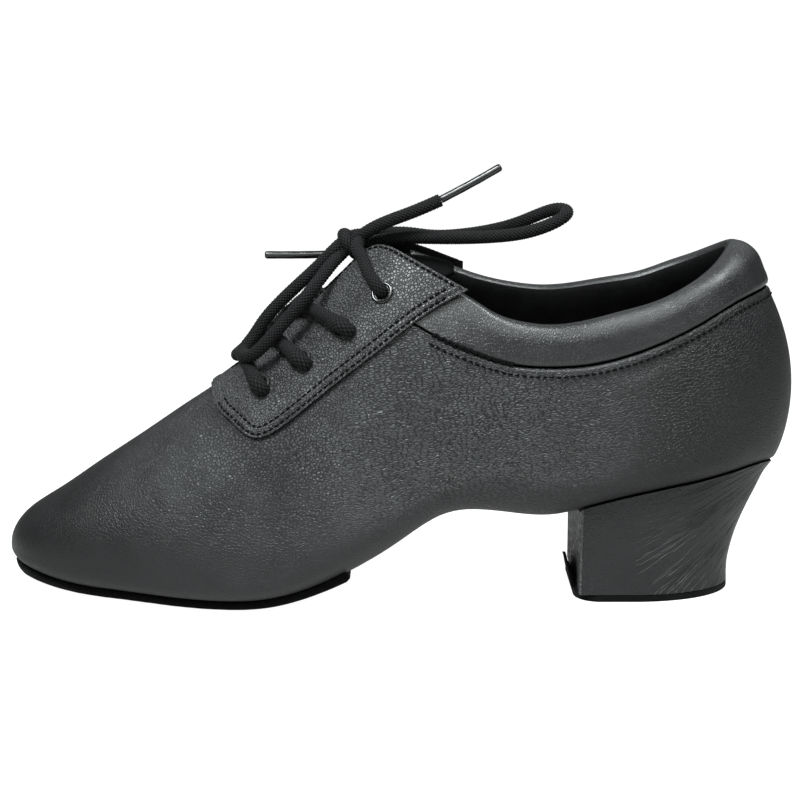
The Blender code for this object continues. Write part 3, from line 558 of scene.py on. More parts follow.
def face_out(piece: Piece) -> None:
    """Turn all faces of a closed piece outwards."""
    activate(piece)
    bpy.ops.object.mode_set(mode='EDIT')
    bpy.ops.mesh.select_all(action='SELECT')
    bpy.ops.mesh.normals_make_consistent(inside=False)
    bpy.ops.object.mode_set(mode='OBJECT')


def new_mesh(name: str, points: Array, faces: Sequence, materials: Sequence[Material],
             slots: Sequence[int] | None = None, **values: Array) -> Piece:
    """Object from points in millimetres.

    Args:
        name: name of the object.
        points: one row for each vertex.
        faces: vertex numbers of each face.
        materials: materials of its slots.
        slots: slot of each face.
        values: named values, one for each vertex.

    Returns:
        The object.
    """
    mesh = bpy.data.meshes.new(name)
    mesh.from_pydata((np.asarray(points) * MM).tolist(), [], [list(face) for face in faces])
    for material in materials:
        mesh.materials.append(material)
    if slots is not None:
        mesh.polygons.foreach_set("material_index", np.asarray(slots, np.int32))
    for key, value in values.items():
        store = mesh.attributes.new(key, 'FLOAT', 'POINT')
        store.data.foreach_set("value", np.asarray(value, np.float32))
    mesh.polygons.foreach_set("use_smooth", np.ones(len(mesh.polygons), bool))
    mesh.update()
    piece = bpy.data.objects.new(name, mesh)
    bpy.context.scene.collection.objects.link(piece)
    return piece


def dress(piece: Piece, slot: Slot, *nodes: str) -> Piece:
    """Let a finished piece ride on the shoe in place of its solids."""
    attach(piece, "root")
    if nodes:
        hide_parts(*nodes)
    piece.data.calc_loop_triangles()
    LOG.info("%s: %d triangles", piece.name, len(piece.data.loop_triangles))
    return piece


def grid_faces(number: Array) -> Array:
    """Faces between the rows and columns of a grid of vertex numbers."""
    corners = (number[:-1, :-1], number[1:, :-1], number[1:, 1:], number[:-1, 1:])
    return np.stack(corners, axis=-1).reshape(-1, 4)


def loft_faces(rings: int, around: int) -> list[list[int]]:
    """Faces between rings of vertices, with both ends closed."""
    number = np.arange(rings * around).reshape(rings, around)
    after = np.roll(number, -1, axis=1)
    sides = np.stack((number[:-1], after[:-1], after[1:], number[1:]), axis=-1).reshape(-1, 4)
    return sides.tolist() + [number[0][::-1].tolist(), number[-1].tolist()]


def closed_sheet(name: str, halves: Sequence[Half], outer: Sequence[Array], inner: Sequence[Array],
                 materials: Sequence[Material], **values: Sequence[Array]) -> Piece:
    """Solid between two offsets of a sheet, welded along the middle.

    Args:
        name: name of the object.
        halves: both sides of the sheet.
        outer: offsets of the outer skin along the normals, one grid for each half.
        inner: offsets of the inner skin.
        materials: outer material, and that of the inner side and edges where there is a second.
        values: named values for each half.

    Returns:
        The object.
    """
    base = np.concatenate([half.points.reshape(-1, 3) for half in halves])
    normal = np.concatenate([half.normals.reshape(-1, 3) for half in halves])
    _, first, welded = np.unique(np.round(base, 3), axis=0, return_index=True, return_inverse=True)
    welded = welded.reshape(-1)
    count = len(first)
    skins = []
    for offsets in (outer, inner):
        offset = np.concatenate([grid.reshape(-1) for grid in offsets])[first, None]
        skins.append(base[first] + normal[first] * offset)
    points = np.concatenate(skins)
    sheet: list[list[int]] = []
    begin = 0
    for half in halves:
        grid = welded[begin:begin + half.station.size].reshape(half.station.shape)
        begin += half.station.size
        corners = grid_faces(grid)
        if half.side is Side.MEDIAL:
            corners = corners[:, ::-1]
        for face in corners.tolist():
            kept = [corner for k, corner in enumerate(face) if corner != face[k - 1]]
            if len(set(kept)) >= 3:
                sheet.append(kept)
    seen: dict[tuple[int, int], tuple[int, int]] = {}
    for face in sheet:
        for k, corner in enumerate(face):
            edge = (face[k - 1], corner)
            key = (min(edge), max(edge))
            if key in seen:
                del seen[key]
            else:
                seen[key] = edge
    walls = [[stop, start, start + count, stop + count] for start, stop in seen.values()]
    back = [[corner + count for corner in reversed(face)] for face in sheet]
    slots = [0] * len(sheet) + [min(1, len(materials) - 1)] * (len(back) + len(walls))
    spread = {}
    for key, grids in values.items():
        flat = np.concatenate([grid.reshape(-1) for grid in grids])[first]
        spread[key] = np.concatenate((flat, flat))
    return new_mesh(name, points, sheet + back + walls, materials, slots, **spread)


def away_from(points: Array, line: Array) -> Array:
    """Least distance of each point to the points of a finely drawn line."""
    flat = points.reshape(-1, 3)
    best = np.full(len(flat), np.inf)
    for begin in range(0, len(line), 64):
        part = line[begin:begin + 64]
        best = np.minimum(best, np.min(np.linalg.norm(flat[:, None, :] - part[None], axis=2), axis=1))
    return best.reshape(points.shape[:-1])


def even_line(points: Array, spacing: float) -> Array:
    """Points at even distances along a smooth curve through a route."""
    route = np.asarray(points, float)
    reach = way_along(route)
    fine = Curve(reach, route)(np.linspace(0.0, reach[-1], max(int(reach[-1] / spacing) * 8, 16)))
    way = way_along(fine)
    marks = np.linspace(0.0, way[-1], max(int(round(way[-1] / spacing)), 2) + 1)
    return np.stack([np.interp(marks, way, fine[:, k]) for k in range(3)], axis=1)


class Nodes:
    """Adds nodes to a tree and links them."""

    def __init__(self, tree: bpy.types.NodeTree) -> None:
        """Keep the tree."""
        self.tree = tree

    def feed(self, node: Node, inputs: dict) -> None:
        """Give a node's sockets values, or link sockets to them."""
        for key, value in inputs.items():
            if isinstance(value, Socket):
                self.tree.links.new(value, node.inputs[key])
            else:
                node.inputs[key].default_value = value

    def add(self, kind: str, inputs: dict | None = None, **settings: object) -> Node:
        """Add a node.

        Args:
            kind: node type.
            inputs: values of its sockets, or sockets to link to them.
            settings: properties of the node.

        Returns:
            The node.
        """
        node = self.tree.nodes.new(kind)
        for name, value in settings.items():
            setattr(node, name, value)
        self.feed(node, inputs or {})
        return node

    def math(self, operation: str, *values: object) -> Socket:
        """Result of a math node."""
        return self.add("ShaderNodeMath", dict(enumerate(values)), operation=operation).outputs[0]

    def times(self, product: object, *factors: object) -> Socket:
        """Product of values."""
        for factor in factors:
            product = self.math('MULTIPLY', product, factor)
        return product

    def mapped(self, value: object, low: float, high: float, to_low: float = 0.0,
               to_high: float = 1.0) -> Socket:
        """Value brought smoothly from one range to another."""
        inputs = {"Value": value, "From Min": low, "From Max": high, "To Min": to_low, "To Max": to_high}
        return self.add("ShaderNodeMapRange", inputs, interpolation_type='SMOOTHSTEP').outputs["Result"]

    def noise(self, vector: object, scale: object, detail: float = 3.0, rough: float = 0.55) -> Socket:
        """Value of a noise texture."""
        inputs = {"Vector": vector, "Scale": scale, "Detail": detail, "Roughness": rough}
        return self.add("ShaderNodeTexNoise", inputs).outputs["Fac"]

    def tint(self, factor: object, first: tuple, second: tuple) -> Socket:
        """Colour between two colours."""
        node = self.add("ShaderNodeMix", {0: factor, 6: (*first, 1.0), 7: (*second, 1.0)}, data_type='RGBA')
        return node.outputs[2]

    def drifted(self, place: object, scale: object, reach: object) -> Socket:
        """Coordinates that wander about their place."""
        inputs = {"Vector": place, "Scale": scale, "Detail": 1.0}
        wander = self.add("ShaderNodeTexNoise", inputs).outputs["Color"]
        shift = self.add("ShaderNodeVectorMath", {0: wander, "Scale": reach}, operation='SCALE').outputs[0]
        return self.add("ShaderNodeVectorMath", {0: place, 1: shift}).outputs[0]


class Effects:
    """Shared shader groups: grain of leather, nap of suede and cloth."""

    def __init__(self) -> None:
        """Build each group once."""
        self.grain = self.build_grain()
        self.nap = self.build_nap()

    @staticmethod
    def open_group(name: str, values: dict[str, float], outputs: Sequence[str]) -> tuple[Nodes, dict, Nodes]:
        """New group with a vector and value inputs.

        Args:
            name: name of the group.
            values: value inputs and their defaults.
            outputs: names of its value outputs.

        Returns:
            Its nodes, its input sockets by name and its output node.
        """
        tree = bpy.data.node_groups.new(name, "ShaderNodeTree")
        tree.interface.new_socket("Vector", in_out='INPUT', socket_type="NodeSocketVector")
        for key, value in values.items():
            socket = tree.interface.new_socket(key, in_out='INPUT', socket_type="NodeSocketFloat")
            socket.default_value = value
        for key in outputs:
            tree.interface.new_socket(key, in_out='OUTPUT', socket_type="NodeSocketFloat")
        nodes = Nodes(tree)
        entry = nodes.add("NodeGroupInput")
        leave = nodes.add("NodeGroupOutput")
        return nodes, {socket.name: socket for socket in entry.outputs if socket.name}, leave

    def build_grain(self) -> bpy.types.NodeTree:
        """Low pebbles between fine creases, with pores."""
        values = {"Scale": 900.0, "Randomness": 0.9}
        nodes, given, leave = self.open_group("leather grain", values, ("Dome", "Crease", "Pore"))
        place, scale = given["Vector"], given["Scale"]
        spot = nodes.drifted(place, scale, nodes.math('DIVIDE', 0.28, scale))
        inputs = {"Vector": spot, "Scale": scale, "Randomness": given["Randomness"]}
        border = nodes.add("ShaderNodeTexVoronoi", inputs, feature='DISTANCE_TO_EDGE').outputs["Distance"]
        pores = nodes.noise(place, nodes.times(scale, 1.5), 2.0, 0.7)
        nodes.feed(leave, {"Dome": nodes.mapped(border, 0.0, 0.24),
                           "Crease": nodes.mapped(border, 0.0, 0.13, 1.0, 0.0),
                           "Pore": nodes.mapped(pores, 0.26, 0.4, 1.0, 0.0)})
        return nodes.tree

    def build_nap(self) -> bpy.types.NodeTree:
        """Short fibres with brushed patches."""
        nodes, given, leave = self.open_group("napped fibres", {"Scale": 1500.0}, ("Height", "Shade"))
        fibre = nodes.noise(given["Vector"], given["Scale"], 4.0, 0.7)
        patch = nodes.noise(given["Vector"], 130.0)
        shade = nodes.times(nodes.mapped(fibre, 0.3, 0.7, 0.5), nodes.mapped(patch, 0.3, 0.7, 0.55))
        nodes.feed(leave, {"Height": nodes.math('MULTIPLY_ADD', patch, 0.5, fibre), "Shade": shade})
        return nodes.tree


def open_material(name: str) -> tuple[Material, Nodes, Node, Socket]:
    """New material.

    Args:
        name: name of the material.

    Returns:
        The material, its nodes, its shader and its object coordinates.
    """
    material = bpy.data.materials.new(name)
    material.use_nodes = True
    nodes = Nodes(material.node_tree)
    shader = material.node_tree.nodes["Principled BSDF"]
    return material, nodes, shader, nodes.add("ShaderNodeTexCoord").outputs["Object"]


def bump(nodes: Nodes, shader: Node, height: object, strength: float, distance: float) -> None:
    """Link a height to the shader's normal."""
    inputs = {"Height": height, "Strength": strength, "Distance": distance * MM}
    nodes.feed(shader, {"Normal": nodes.add("ShaderNodeBump", inputs).outputs[0]})


@dataclass(frozen=True)
class Leather:
    """Grained leather: calm where the last or the heel stretches it, drawn lengthwise at the quarter."""

    name: str
    dark: tuple
    light: tuple
    roughness: tuple
    pebble: float = 900.0
    strand: float = 1400.0
    depth: float = 0.3
    pull: float = 1.0
    calm: float = 0.35
    settle: float = 0.3
    # painted shade: share of the colour kept at the toe, at the rear and low down
    painted_shade: tuple = (0.1, 0.05, 0.3)
    pores: float = 0.5
    fan: float = 0.0
    coat: float = 0.1
    soft: float = 0.22
    # colour that the edge attribute mixes in: wear on the eyestay's and heel's edges, and a painted highlight
    # along the upper's hem
    edge_wear_and_highlight: tuple = (0.1, 0.1, 0.104)
    slant: float = -0.08
    drawn: tuple = (2.7, 1.5, 1.0)
    # reaches in metres along X, and along Z from the floor: where the grain changes, and where painted shade
    # darkens the colour at the toe, the rear and low down
    quarter: tuple = (-0.035, 0.0, 0.06, 0.1)
    toe: tuple = (-0.1, -0.035)
    rear: tuple = (0.03, 0.125)
    low: tuple = (0.018, 0.06)
    toe_painted_shade: tuple = (-0.12, -0.035)
    rear_painted_shade: tuple = (0.03, 0.1)
    # the heel's fan of lines: centre, scales by turn, reach and way out, reaches along X and Y
    fan_centre: tuple = (0.151, 0.057)
    fan_scale: tuple = (26.0, 24.0, 14.0)
    fan_reach: tuple = (0.074, 0.112)
    flank: tuple = (0.006, 0.017)
    breast: tuple = (0.0642, 0.0646)
    breast_scale: tuple = (260.0, 420.0)

    def grain(self, nodes: Nodes, effects: Effects, place: object, scale: float, loose: float) -> Node:
        """Crease net at a place."""
        inputs = {"Vector": place, "Scale": scale, "Randomness": loose}
        return nodes.add("ShaderNodeGroup", inputs, node_tree=effects.grain)

    def nets(self, nodes: Nodes, effects: Effects, place: Socket, along: Socket) -> list[Socket]:
        """Grain in pebbles, drawn lengthwise at the quarter.

        Args:
            nodes: nodes of the material.
            effects: shared shader groups.
            place: coordinates.
            along: their X.

        Returns:
            Domes, creases and pores.
        """
        inputs = {"Vector": nodes.drifted(place, 55.0, 0.004), "Rotation": (0.0, self.slant, 0.0)}
        inputs["Scale"] = self.drawn
        drawn = nodes.add("ShaderNodeMapping", inputs, vector_type='TEXTURE').outputs[0]
        round_net = self.grain(nodes, effects, place, self.pebble, 0.9)
        long_net = self.grain(nodes, effects, drawn, self.strand, 0.85)
        begin, end = self.quarter[:2], self.quarter[2:]
        pulled = nodes.times(nodes.mapped(along, *begin), nodes.mapped(along, *end, 1.0, 0.0), self.pull)
        nets = []
        for key in ("Dome", "Crease"):
            inputs = {0: pulled, 2: round_net.outputs[key], 3: long_net.outputs[key]}
            nets.append(nodes.add("ShaderNodeMix", inputs).outputs[0])
        return nets + [nodes.times(round_net.outputs["Pore"], self.pores)]

    def lively(self, nodes: Nodes, along: Socket, up: Socket) -> Socket:
        """Strength of the grain: less at the toe, at the rear and low down."""
        return nodes.times(nodes.mapped(along, *self.toe, self.calm, 1.0),
                           nodes.mapped(along, *self.rear, 1.0, self.settle),
                           nodes.mapped(up, *self.low, self.settle, 1.0))

    def thin_lines(self, nodes: Nodes, place: object) -> Socket:
        """Thin wandering lines of a noise at its middle value."""
        level = nodes.math('ABSOLUTE', nodes.math('SUBTRACT', nodes.noise(place, 1.0), 0.5))
        return nodes.mapped(level, 0.0, 0.07, 1.0, 0.0)

    def fan_lines(self, nodes: Nodes, axes: Node) -> Socket:
        """Stretch wrinkles that fan out of the heel's back, and short ones across its breast.

        Args:
            nodes: nodes of the material.
            axes: node with the coordinates by axis.

        Returns:
            Strength of the lines.
        """
        ahead, across, height = (axes.outputs[key] for key in "XYZ")
        along = nodes.math('SUBTRACT', ahead, self.fan_centre[0])
        up = nodes.math('SUBTRACT', height, self.fan_centre[1])
        turn = nodes.math('ARCTAN2', up, along)
        reach = nodes.math('SQRT', nodes.math('MULTIPLY_ADD', up, up, nodes.times(along, along)))
        fan = [nodes.times(*pair) for pair in zip((turn, reach, across), self.fan_scale)]
        spot = nodes.add("ShaderNodeCombineXYZ", dict(enumerate(fan))).outputs[0]
        flank = nodes.mapped(nodes.math('ABSOLUTE', across), *self.flank)
        near = nodes.times(nodes.mapped(ahead, *self.fan_reach), flank)
        wide = nodes.times(self.thin_lines(nodes, spot), near)
        front = [nodes.times(*pair) for pair in zip((across, height), self.breast_scale)]
        spot = nodes.add("ShaderNodeCombineXYZ", dict(enumerate(front))).outputs[0]
        short = nodes.mapped(nodes.noise(spot, 1.0, 2.0), 0.35, 0.65)
        return nodes.math('MULTIPLY_ADD', short, nodes.mapped(ahead, *self.breast, 1.0, 0.0), wide)

    def make(self, effects: Effects) -> Material:
        """Material of this leather.

        Args:
            effects: shared shader groups.

        Returns:
            The material.
        """
        material, nodes, shader, place = open_material(self.name)
        axes = nodes.add("ShaderNodeSeparateXYZ", {0: place})
        along, up = axes.outputs["X"], axes.outputs["Z"]
        dome, net, pore = self.nets(nodes, effects, place, along)
        lively = self.lively(nodes, along, up)
        crease = nodes.times(net, lively)
        if self.fan > 0.0:
            crease = nodes.math('MAXIMUM', crease, nodes.times(self.fan_lines(nodes, axes), self.fan))
        crease = nodes.math('MAXIMUM', crease, pore)
        hollow = nodes.times(nodes.math('SUBTRACT', 1.0, dome), lively)
        height = nodes.math('SUBTRACT', 1.0, nodes.math('MAXIMUM', hollow, crease))
        bump(nodes, shader, height, 1.0, self.depth)
        mottle = nodes.noise(place, 90.0, 4.0)
        # painted shade: the colour darkens in the creases, pores, heel wrinkles and hollows between the
        # pebbles, so the pebble tops stay lighter
        shade = nodes.times(nodes.mapped(mottle, 0.3, 0.7, 0.6), nodes.mapped(height, 0.0, 0.9),
                            # painted shade: the colour darkens towards the toe, the rear and low down
                            nodes.mapped(along, *self.toe_painted_shade, self.painted_shade[0], 1.0),
                            nodes.mapped(along, *self.rear_painted_shade, 1.0, self.painted_shade[1]),
                            nodes.mapped(up, *self.low, self.painted_shade[2], 1.0))
        # the edge attribute lightens the colour: wear on the eyestay's and heel's edges, and a painted
        # highlight along the upper's hem
        edge = nodes.add("ShaderNodeAttribute", attribute_name="edge").outputs["Fac"]
        inputs = {0: edge, 6: nodes.tint(shade, self.dark, self.light), 7: (*self.edge_wear_and_highlight, 1.0)}
        lighter_edge = nodes.add("ShaderNodeMix", inputs, data_type='RGBA').outputs[2]
        gloss = nodes.mapped(mottle, 0.3, 0.7, *self.roughness)
        gloss = nodes.math('MULTIPLY_ADD', nodes.math('SUBTRACT', 1.0, lively), self.soft, gloss)
        nodes.feed(shader, {"Base Color": lighter_edge, "Roughness": nodes.math('MULTIPLY_ADD', crease, 0.25, gloss),
                            "Coat Weight": self.coat, "Coat Roughness": 0.38})
        return material


@dataclass(frozen=True)
class Napped:
    """Suede, lining cloth and other surfaces with short fibres."""

    name: str
    dark: tuple
    light: tuple
    scale: float
    strength: float
    sheen: float
    roughness: float = 0.92

    def make(self, effects: Effects) -> Material:
        """Material of this cloth."""
        material, nodes, shader, place = open_material(self.name)
        group = nodes.add("ShaderNodeGroup", {"Vector": place, "Scale": self.scale}, node_tree=effects.nap)
        bump(nodes, shader, group.outputs["Height"], self.strength, 0.6)
        nodes.feed(shader, {"Base Color": nodes.tint(group.outputs["Shade"], self.dark, self.light),
                            "Roughness": self.roughness, "Specular IOR Level": 0.12,
                            "Sheen Weight": self.sheen, "Sheen Roughness": 0.45})
        return material


@dataclass(frozen=True)
class Braid:
    """Round braided lace: fibres along the raised strands, with painted shade between them."""

    name: str = "black braid"
    dark: tuple = (0.0006, 0.0006, 0.0007)
    light: tuple = (0.024, 0.024, 0.025)

    def make(self) -> Material:
        """Material of the lace."""
        material, nodes, shader, place = open_material(self.name)
        relief = nodes.add("ShaderNodeAttribute", attribute_name="relief").outputs["Fac"]
        fibre = nodes.noise(place, 2600.0, 3.0, 0.7)
        # painted shade: the colour darkens where the strands dip between each other
        shade = nodes.times(nodes.mapped(relief, 0.5, 1.0), nodes.mapped(fibre, 0.35, 0.65, 0.3))
        bump(nodes, shader, fibre, 0.5, 0.25)
        nodes.feed(shader, {"Base Color": nodes.tint(shade, self.dark, self.light), "Roughness": 0.75,
                            "Specular IOR Level": 0.15, "Sheen Weight": 0.02, "Sheen Roughness": 0.5})
        return material


@dataclass(frozen=True)
class Glossy:
    """Hard glossy black: enamelled rings and the lace's sleeves."""

    name: str
    dark: tuple
    light: tuple
    roughness: tuple
    coat: float
    stretch: tuple = (900.0, 900.0, 900.0)

    def make(self) -> Material:
        """Material of this finish."""
        material, nodes, shader, place = open_material(self.name)
        long = nodes.add("ShaderNodeMapping", {"Vector": place, "Scale": self.stretch}).outputs[0]
        mottle = nodes.noise(long, 1.0, 3.0, 0.6)
        bump(nodes, shader, mottle, 0.15, 0.2)
        nodes.feed(shader, {"Base Color": nodes.tint(nodes.mapped(mottle, 0.35, 0.65), self.dark, self.light),
                            "Roughness": nodes.mapped(mottle, 0.3, 0.7, *self.roughness),
                            "Coat Weight": self.coat, "Coat Roughness": 0.12})
        return material


class Finishes:
    """Materials of the shoe."""

    def __init__(self) -> None:
        """Make each material."""
        kit = Effects()
        self.upper = Leather("black grained leather", (0.003, 0.003, 0.0033), (0.062, 0.063, 0.066),
                             (0.3, 0.4), depth=0.44, calm=0.44, pores=0.1).make(kit)
        # painted light: the eyestay is the upper's leather made lighter, standing in for the highlights it
        # catches
        self.stay = Leather("eyestay leather", (0.003, 0.003, 0.0033), (0.1, 0.101, 0.105),
                            (0.34, 0.44), pebble=1000.0, depth=0.34, calm=0.8, settle=0.8,
                            painted_shade=(0.8, 0.8, 0.8), pores=0.25, pull=0.0).make(kit)
        self.collar = Leather("soft collar leather", (0.004, 0.004, 0.0045), (0.026, 0.0265, 0.028),
                              (0.3, 0.36), pebble=1300.0, strand=1300.0, depth=0.1, calm=0.6, settle=0.7,
                              painted_shade=(0.6, 0.7, 1.0), coat=0.6, soft=0.0, pores=0.0, slant=0.1,
                              drawn=(1.0, 1.7, 1.7)).make(kit)
        self.heel = Leather("stretched heel leather", (0.004, 0.004, 0.0045), (0.013, 0.0133, 0.014),
                            (0.36, 0.48), pebble=1000.0, depth=1.1, calm=0.12, settle=0.12,
                            painted_shade=(1.0, 1.0, 1.0), fan=1.0, soft=0.0).make(kit)
        self.lining = Napped("dark lining", (0.002, 0.002, 0.0022), (0.012, 0.012, 0.0125),
                             1500.0, 0.8, 0.0).make(kit)
        # near-black tongue cloth, partly painted shade: darker than the lining, standing in for the shade
        # inside the throat
        self.tongue = Napped("tongue cloth", (0.0008, 0.0008, 0.0009), (0.0035, 0.0035, 0.0038),
                             1900.0, 0.4, 0.0).make(kit)
        self.insole = Napped("insole cloth", (0.006, 0.006, 0.0065), (0.02, 0.02, 0.021),
                             1300.0, 0.5, 0.15).make(kit)
        self.suede = Napped("black suede", (0.001, 0.001, 0.0011), (0.008, 0.008, 0.0085),
                            1500.0, 0.9, 0.06).make(kit)
        self.metal = Glossy("black enamel", (0.002, 0.002, 0.0022), (0.005, 0.005, 0.0054),
                            (0.12, 0.2), 0.5).make()
        self.dull = Glossy("dull enamel", (0.002, 0.002, 0.0022), (0.006, 0.006, 0.0064),
                           (0.5, 0.65), 0.0).make()
        self.braid = Braid().make()
        self.aglet = Glossy("black sleeve", (0.004, 0.004, 0.0045), (0.014, 0.014, 0.015),
                            (0.2, 0.34), 0.5, (160.0, 900.0, 900.0)).make()
        self.thread = Napped("black thread", (0.0008, 0.0008, 0.0009), (0.004, 0.004, 0.0043),
                             2600.0, 0.4, 0.0).make(kit)


@dataclass
class Upper:
    """Hollow leather wall with its creases and folded edge under the collar."""

    pattern: Pattern
    finishes: Finishes
    columns: int = 190
    margin_rows: int = 9
    corner_rows: int = 22
    over_rows: int = 62
    corner_share: float = 0.74
    hem: float = 3.2
    hem_rise: float = 0.38
    # stations over which the hem comes up, and over which the painted highlight along its folded edge comes
    # and goes
    hem_from: tuple = (150.0, 158.0)
    painted_highlight_from: tuple = (160.0, 172.0)
    painted_highlight_to: tuple = (205.0, 235.0)
    # way under the top edge over which the creases come up
    fold_from: tuple = (1.0, 5.0)
    folds: tuple = (
        Fold(((112.0, 33.0), (130.0, 44.0), (146.0, 52.0)), 5.0, 0.5, Side.LATERAL),
        Fold(((146.0, 92.0), (156.0, 85.0), (168.0, 81.0)), 1.8, 0.4, Side.LATERAL),
        Fold(((138.0, 82.0), (152.0, 76.0), (172.0, 74.0)), 2.4, 0.45, Side.LATERAL),
        Fold(((158.0, 56.0), (182.0, 65.0), (207.0, 76.0)), 6.0, 1.25, Side.LATERAL),
        Fold(((180.0, 80.5), (196.0, 80.5), (212.0, 82.5)), 1.3, 0.22, Side.LATERAL),
        Fold(((205.0, 79.0), (222.0, 84.0), (240.0, 92.0)), 2.2, 0.35, Side.LATERAL),
        Fold(((150.0, 46.0), (165.0, 44.0), (185.0, 46.0)), 4.5, 0.45, Side.LATERAL),
        Fold(((168.0, 52.0), (186.0, 51.0), (205.0, 55.0)), 4.0, 0.3),
        Fold(((120.0, 56.0), (133.0, 63.0), (146.0, 66.0)), 3.2, 0.28, Side.LATERAL),
        Fold(((110.0, 34.0), (128.0, 46.0), (146.0, 54.0)), 5.0, 0.5, Side.MEDIAL),
        Fold(((150.0, 92.0), (165.0, 87.0), (182.0, 84.0)), 1.8, 0.3, Side.MEDIAL),
        Fold(((146.0, 80.0), (162.0, 76.0), (180.0, 75.0)), 2.2, 0.3, Side.MEDIAL),
        Fold(((205.0, 82.0), (222.0, 87.0), (240.0, 94.0)), 1.6, 0.24, Side.MEDIAL),
        Fold(((62.0, 50.0), (70.0, 40.0), (78.0, 33.0)), 4.5, 0.25),
        Fold(((84.0, 55.0), (92.0, 45.0), (102.0, 38.0)), 4.5, 0.28),
    )

    def half(self, side: Side) -> Half:
        """Grid of one side, from the lasting margin to the top edge.

        Args:
            side: side of the foot.

        Returns:
            The grid.
        """
        pattern, last = self.pattern, self.pattern.last
        fixed = [mark for pair in pattern.openings for mark in pair]
        fixed += [pattern.throat_start, pattern.flap_corner, pattern.flap_back, pattern.collar_front]
        stations = last.stations(0.0, last.length, self.columns, fixed)
        bottom = np.array([pattern.upper_bottom(side, station) for station in stations])
        top = np.array([pattern.upper_top(side, station) for station in stations])
        reach = self.corner_share * last.section(stations).half(side)
        corner = last.angle_at_width(side, stations, reach, below=True)
        zero = np.zeros_like(top)
        margin = last.spread(side, stations, bottom, corner, np.linspace(0.0, 1.0, self.margin_rows + 1))
        under = last.spread(side, stations, corner, zero, np.linspace(0.0, 1.0, self.corner_rows + 1))
        climb = 1.0 - np.linspace(1.0, 0.0, self.over_rows + 1) ** 1.7
        over = last.spread(side, stations, zero, top, climb)
        return last.half(side, stations, np.concatenate((margin[:, :-1], under[:, :-1], over), axis=1))

    def relief(self, half: Half) -> Array:
        """Offsets of the outer skin: creases, and the hem under the collar.

        Args:
            half: grid of one side.

        Returns:
            Offsets along its normals.
        """
        height = half.points[..., 2]
        total = np.zeros_like(height)
        for fold in self.folds:
            total += fold.relief(half.side, half.station, height)
        down = half.from_top()
        total *= ramp(down, *self.fold_from)
        behind = ramp(half.station, *self.hem_from)
        hem = self.hem_rise * (1.0 - ramp(down, self.hem - 0.5, self.hem + 0.5))
        hem += -0.5 * hump(down, 0.0, 0.55) - 0.16 * hump(down, self.hem - 0.4, 0.35)
        return total + behind * hem

    def build(self) -> Piece:
        """Solid wall, still without holes."""
        halves = [self.half(side) for side in Side]
        outer = [self.relief(half) for half in halves]
        inner = [np.full_like(half.station, -self.pattern.last.wall) for half in halves]
        # painted highlight: a lighter band along the hem's folded edge under the collar
        painted_hem_highlight = [hump(half.from_top(), 0.7, 0.35) * ramp(half.station, *self.painted_highlight_from)
                * (1.0 - ramp(half.station, *self.painted_highlight_to)) for half in halves]
        skins = (self.finishes.upper, self.finishes.lining)
        piece = closed_sheet("upper_skin", halves, outer, inner, skins, edge=painted_hem_highlight)
        return dress(piece, Slot.UPPER, "upper")


@dataclass
class Eyestay:
    """U-shaped overlay round the throat with rounded cut edges and a ridge between its stitch rows."""

    pattern: Pattern
    finishes: Finishes
    lift: float = 0.55
    rise: float = 0.8
    thick: float = 1.1
    columns: int = 210
    rows: int = 64
    edge_round: float = 0.6
    stitch_rows: tuple = (1.2, 3.8)
    ridge: float = 0.3
    groove: float = 0.45
    top_groove: float = 0.28
    # the worn top edge: stations over which it begins, its width and its strength
    lighter_edge: tuple = (136.0, 140.0)
    worn_wide: float = 0.4
    worn_share: float = 0.6

    def edges(self, side: Side, spacing: float = 0.4) -> tuple[tuple[Array, Array], tuple[Array, Array]]:
        """Lower edge and top edge of one side."""
        pattern = self.pattern
        low = np.arange(pattern.stay_edge[0][0], pattern.flap_tip + 0.01, spacing)
        top = np.arange(pattern.throat_start, pattern.flap_tip + 0.01, spacing)
        return pattern.edge(side, low, pattern.stay_angle), pattern.edge(side, top, pattern.flap_angle)

    def half(self, side: Side) -> Half:
        """Grid of one side, closer at both edges.

        Args:
            side: side of the foot.

        Returns:
            The grid.
        """
        pattern, last = self.pattern, self.pattern.last
        first = pattern.stay_edge[0][0]
        stations = np.linspace(first, pattern.flap_tip, self.columns)
        stations = np.union1d(stations, [pattern.throat_start, pattern.flap_corner])
        low = np.array([pattern.stay_angle(side, station) for station in stations])
        high = np.array([pattern.flap_angle(side, station) for station in stations])
        even = np.linspace(0.0, 1.0, self.rows + 1)
        shares = even - 0.88 * np.sin(2.0 * np.pi * even) / (2.0 * np.pi)
        return last.half(side, stations, last.spread(side, stations, low, high, shares))

    def raised(self, station: Array) -> Array:
        """Distance of the overlay from the last, larger where it passes over the collar."""
        return self.lift + self.rise * ramp(station, self.pattern.collar_front, self.pattern.flap_tip)

    def build(self) -> Piece:
        """Solid overlay."""
        halves = [self.half(side) for side in Side]
        outer, inner, lighter_edge = [], [], []
        for half in halves:
            (low, _), (top, _) = self.edges(half.side, 0.25)
            from_low, from_top = away_from(half.points, low), away_from(half.points, top)
            drop = rounded(np.minimum(from_low, from_top), self.edge_round)
            relief = self.ridge * hump(from_low, sum(self.stitch_rows) / 2.0, 0.8)
            for row in self.stitch_rows:
                relief -= self.ridge * hump(from_low, row, self.groove)
            relief -= self.top_groove * hump(from_top, self.stitch_rows[0], self.groove)
            base = self.raised(half.station)
            outer.append(base + self.thick - drop + relief)
            inner.append(base)
            near = np.clip(1.0 - from_top / self.worn_wide, 0.0, 1.0)
            lighter_edge.append(near * self.worn_share * ramp(half.station, *self.lighter_edge))
        piece = closed_sheet("eyestay_overlay", halves, outer, inner,
                             (self.finishes.stay, self.finishes.lining), edge=lighter_edge)
        return dress(piece, Slot.UPPER, "eyestay")


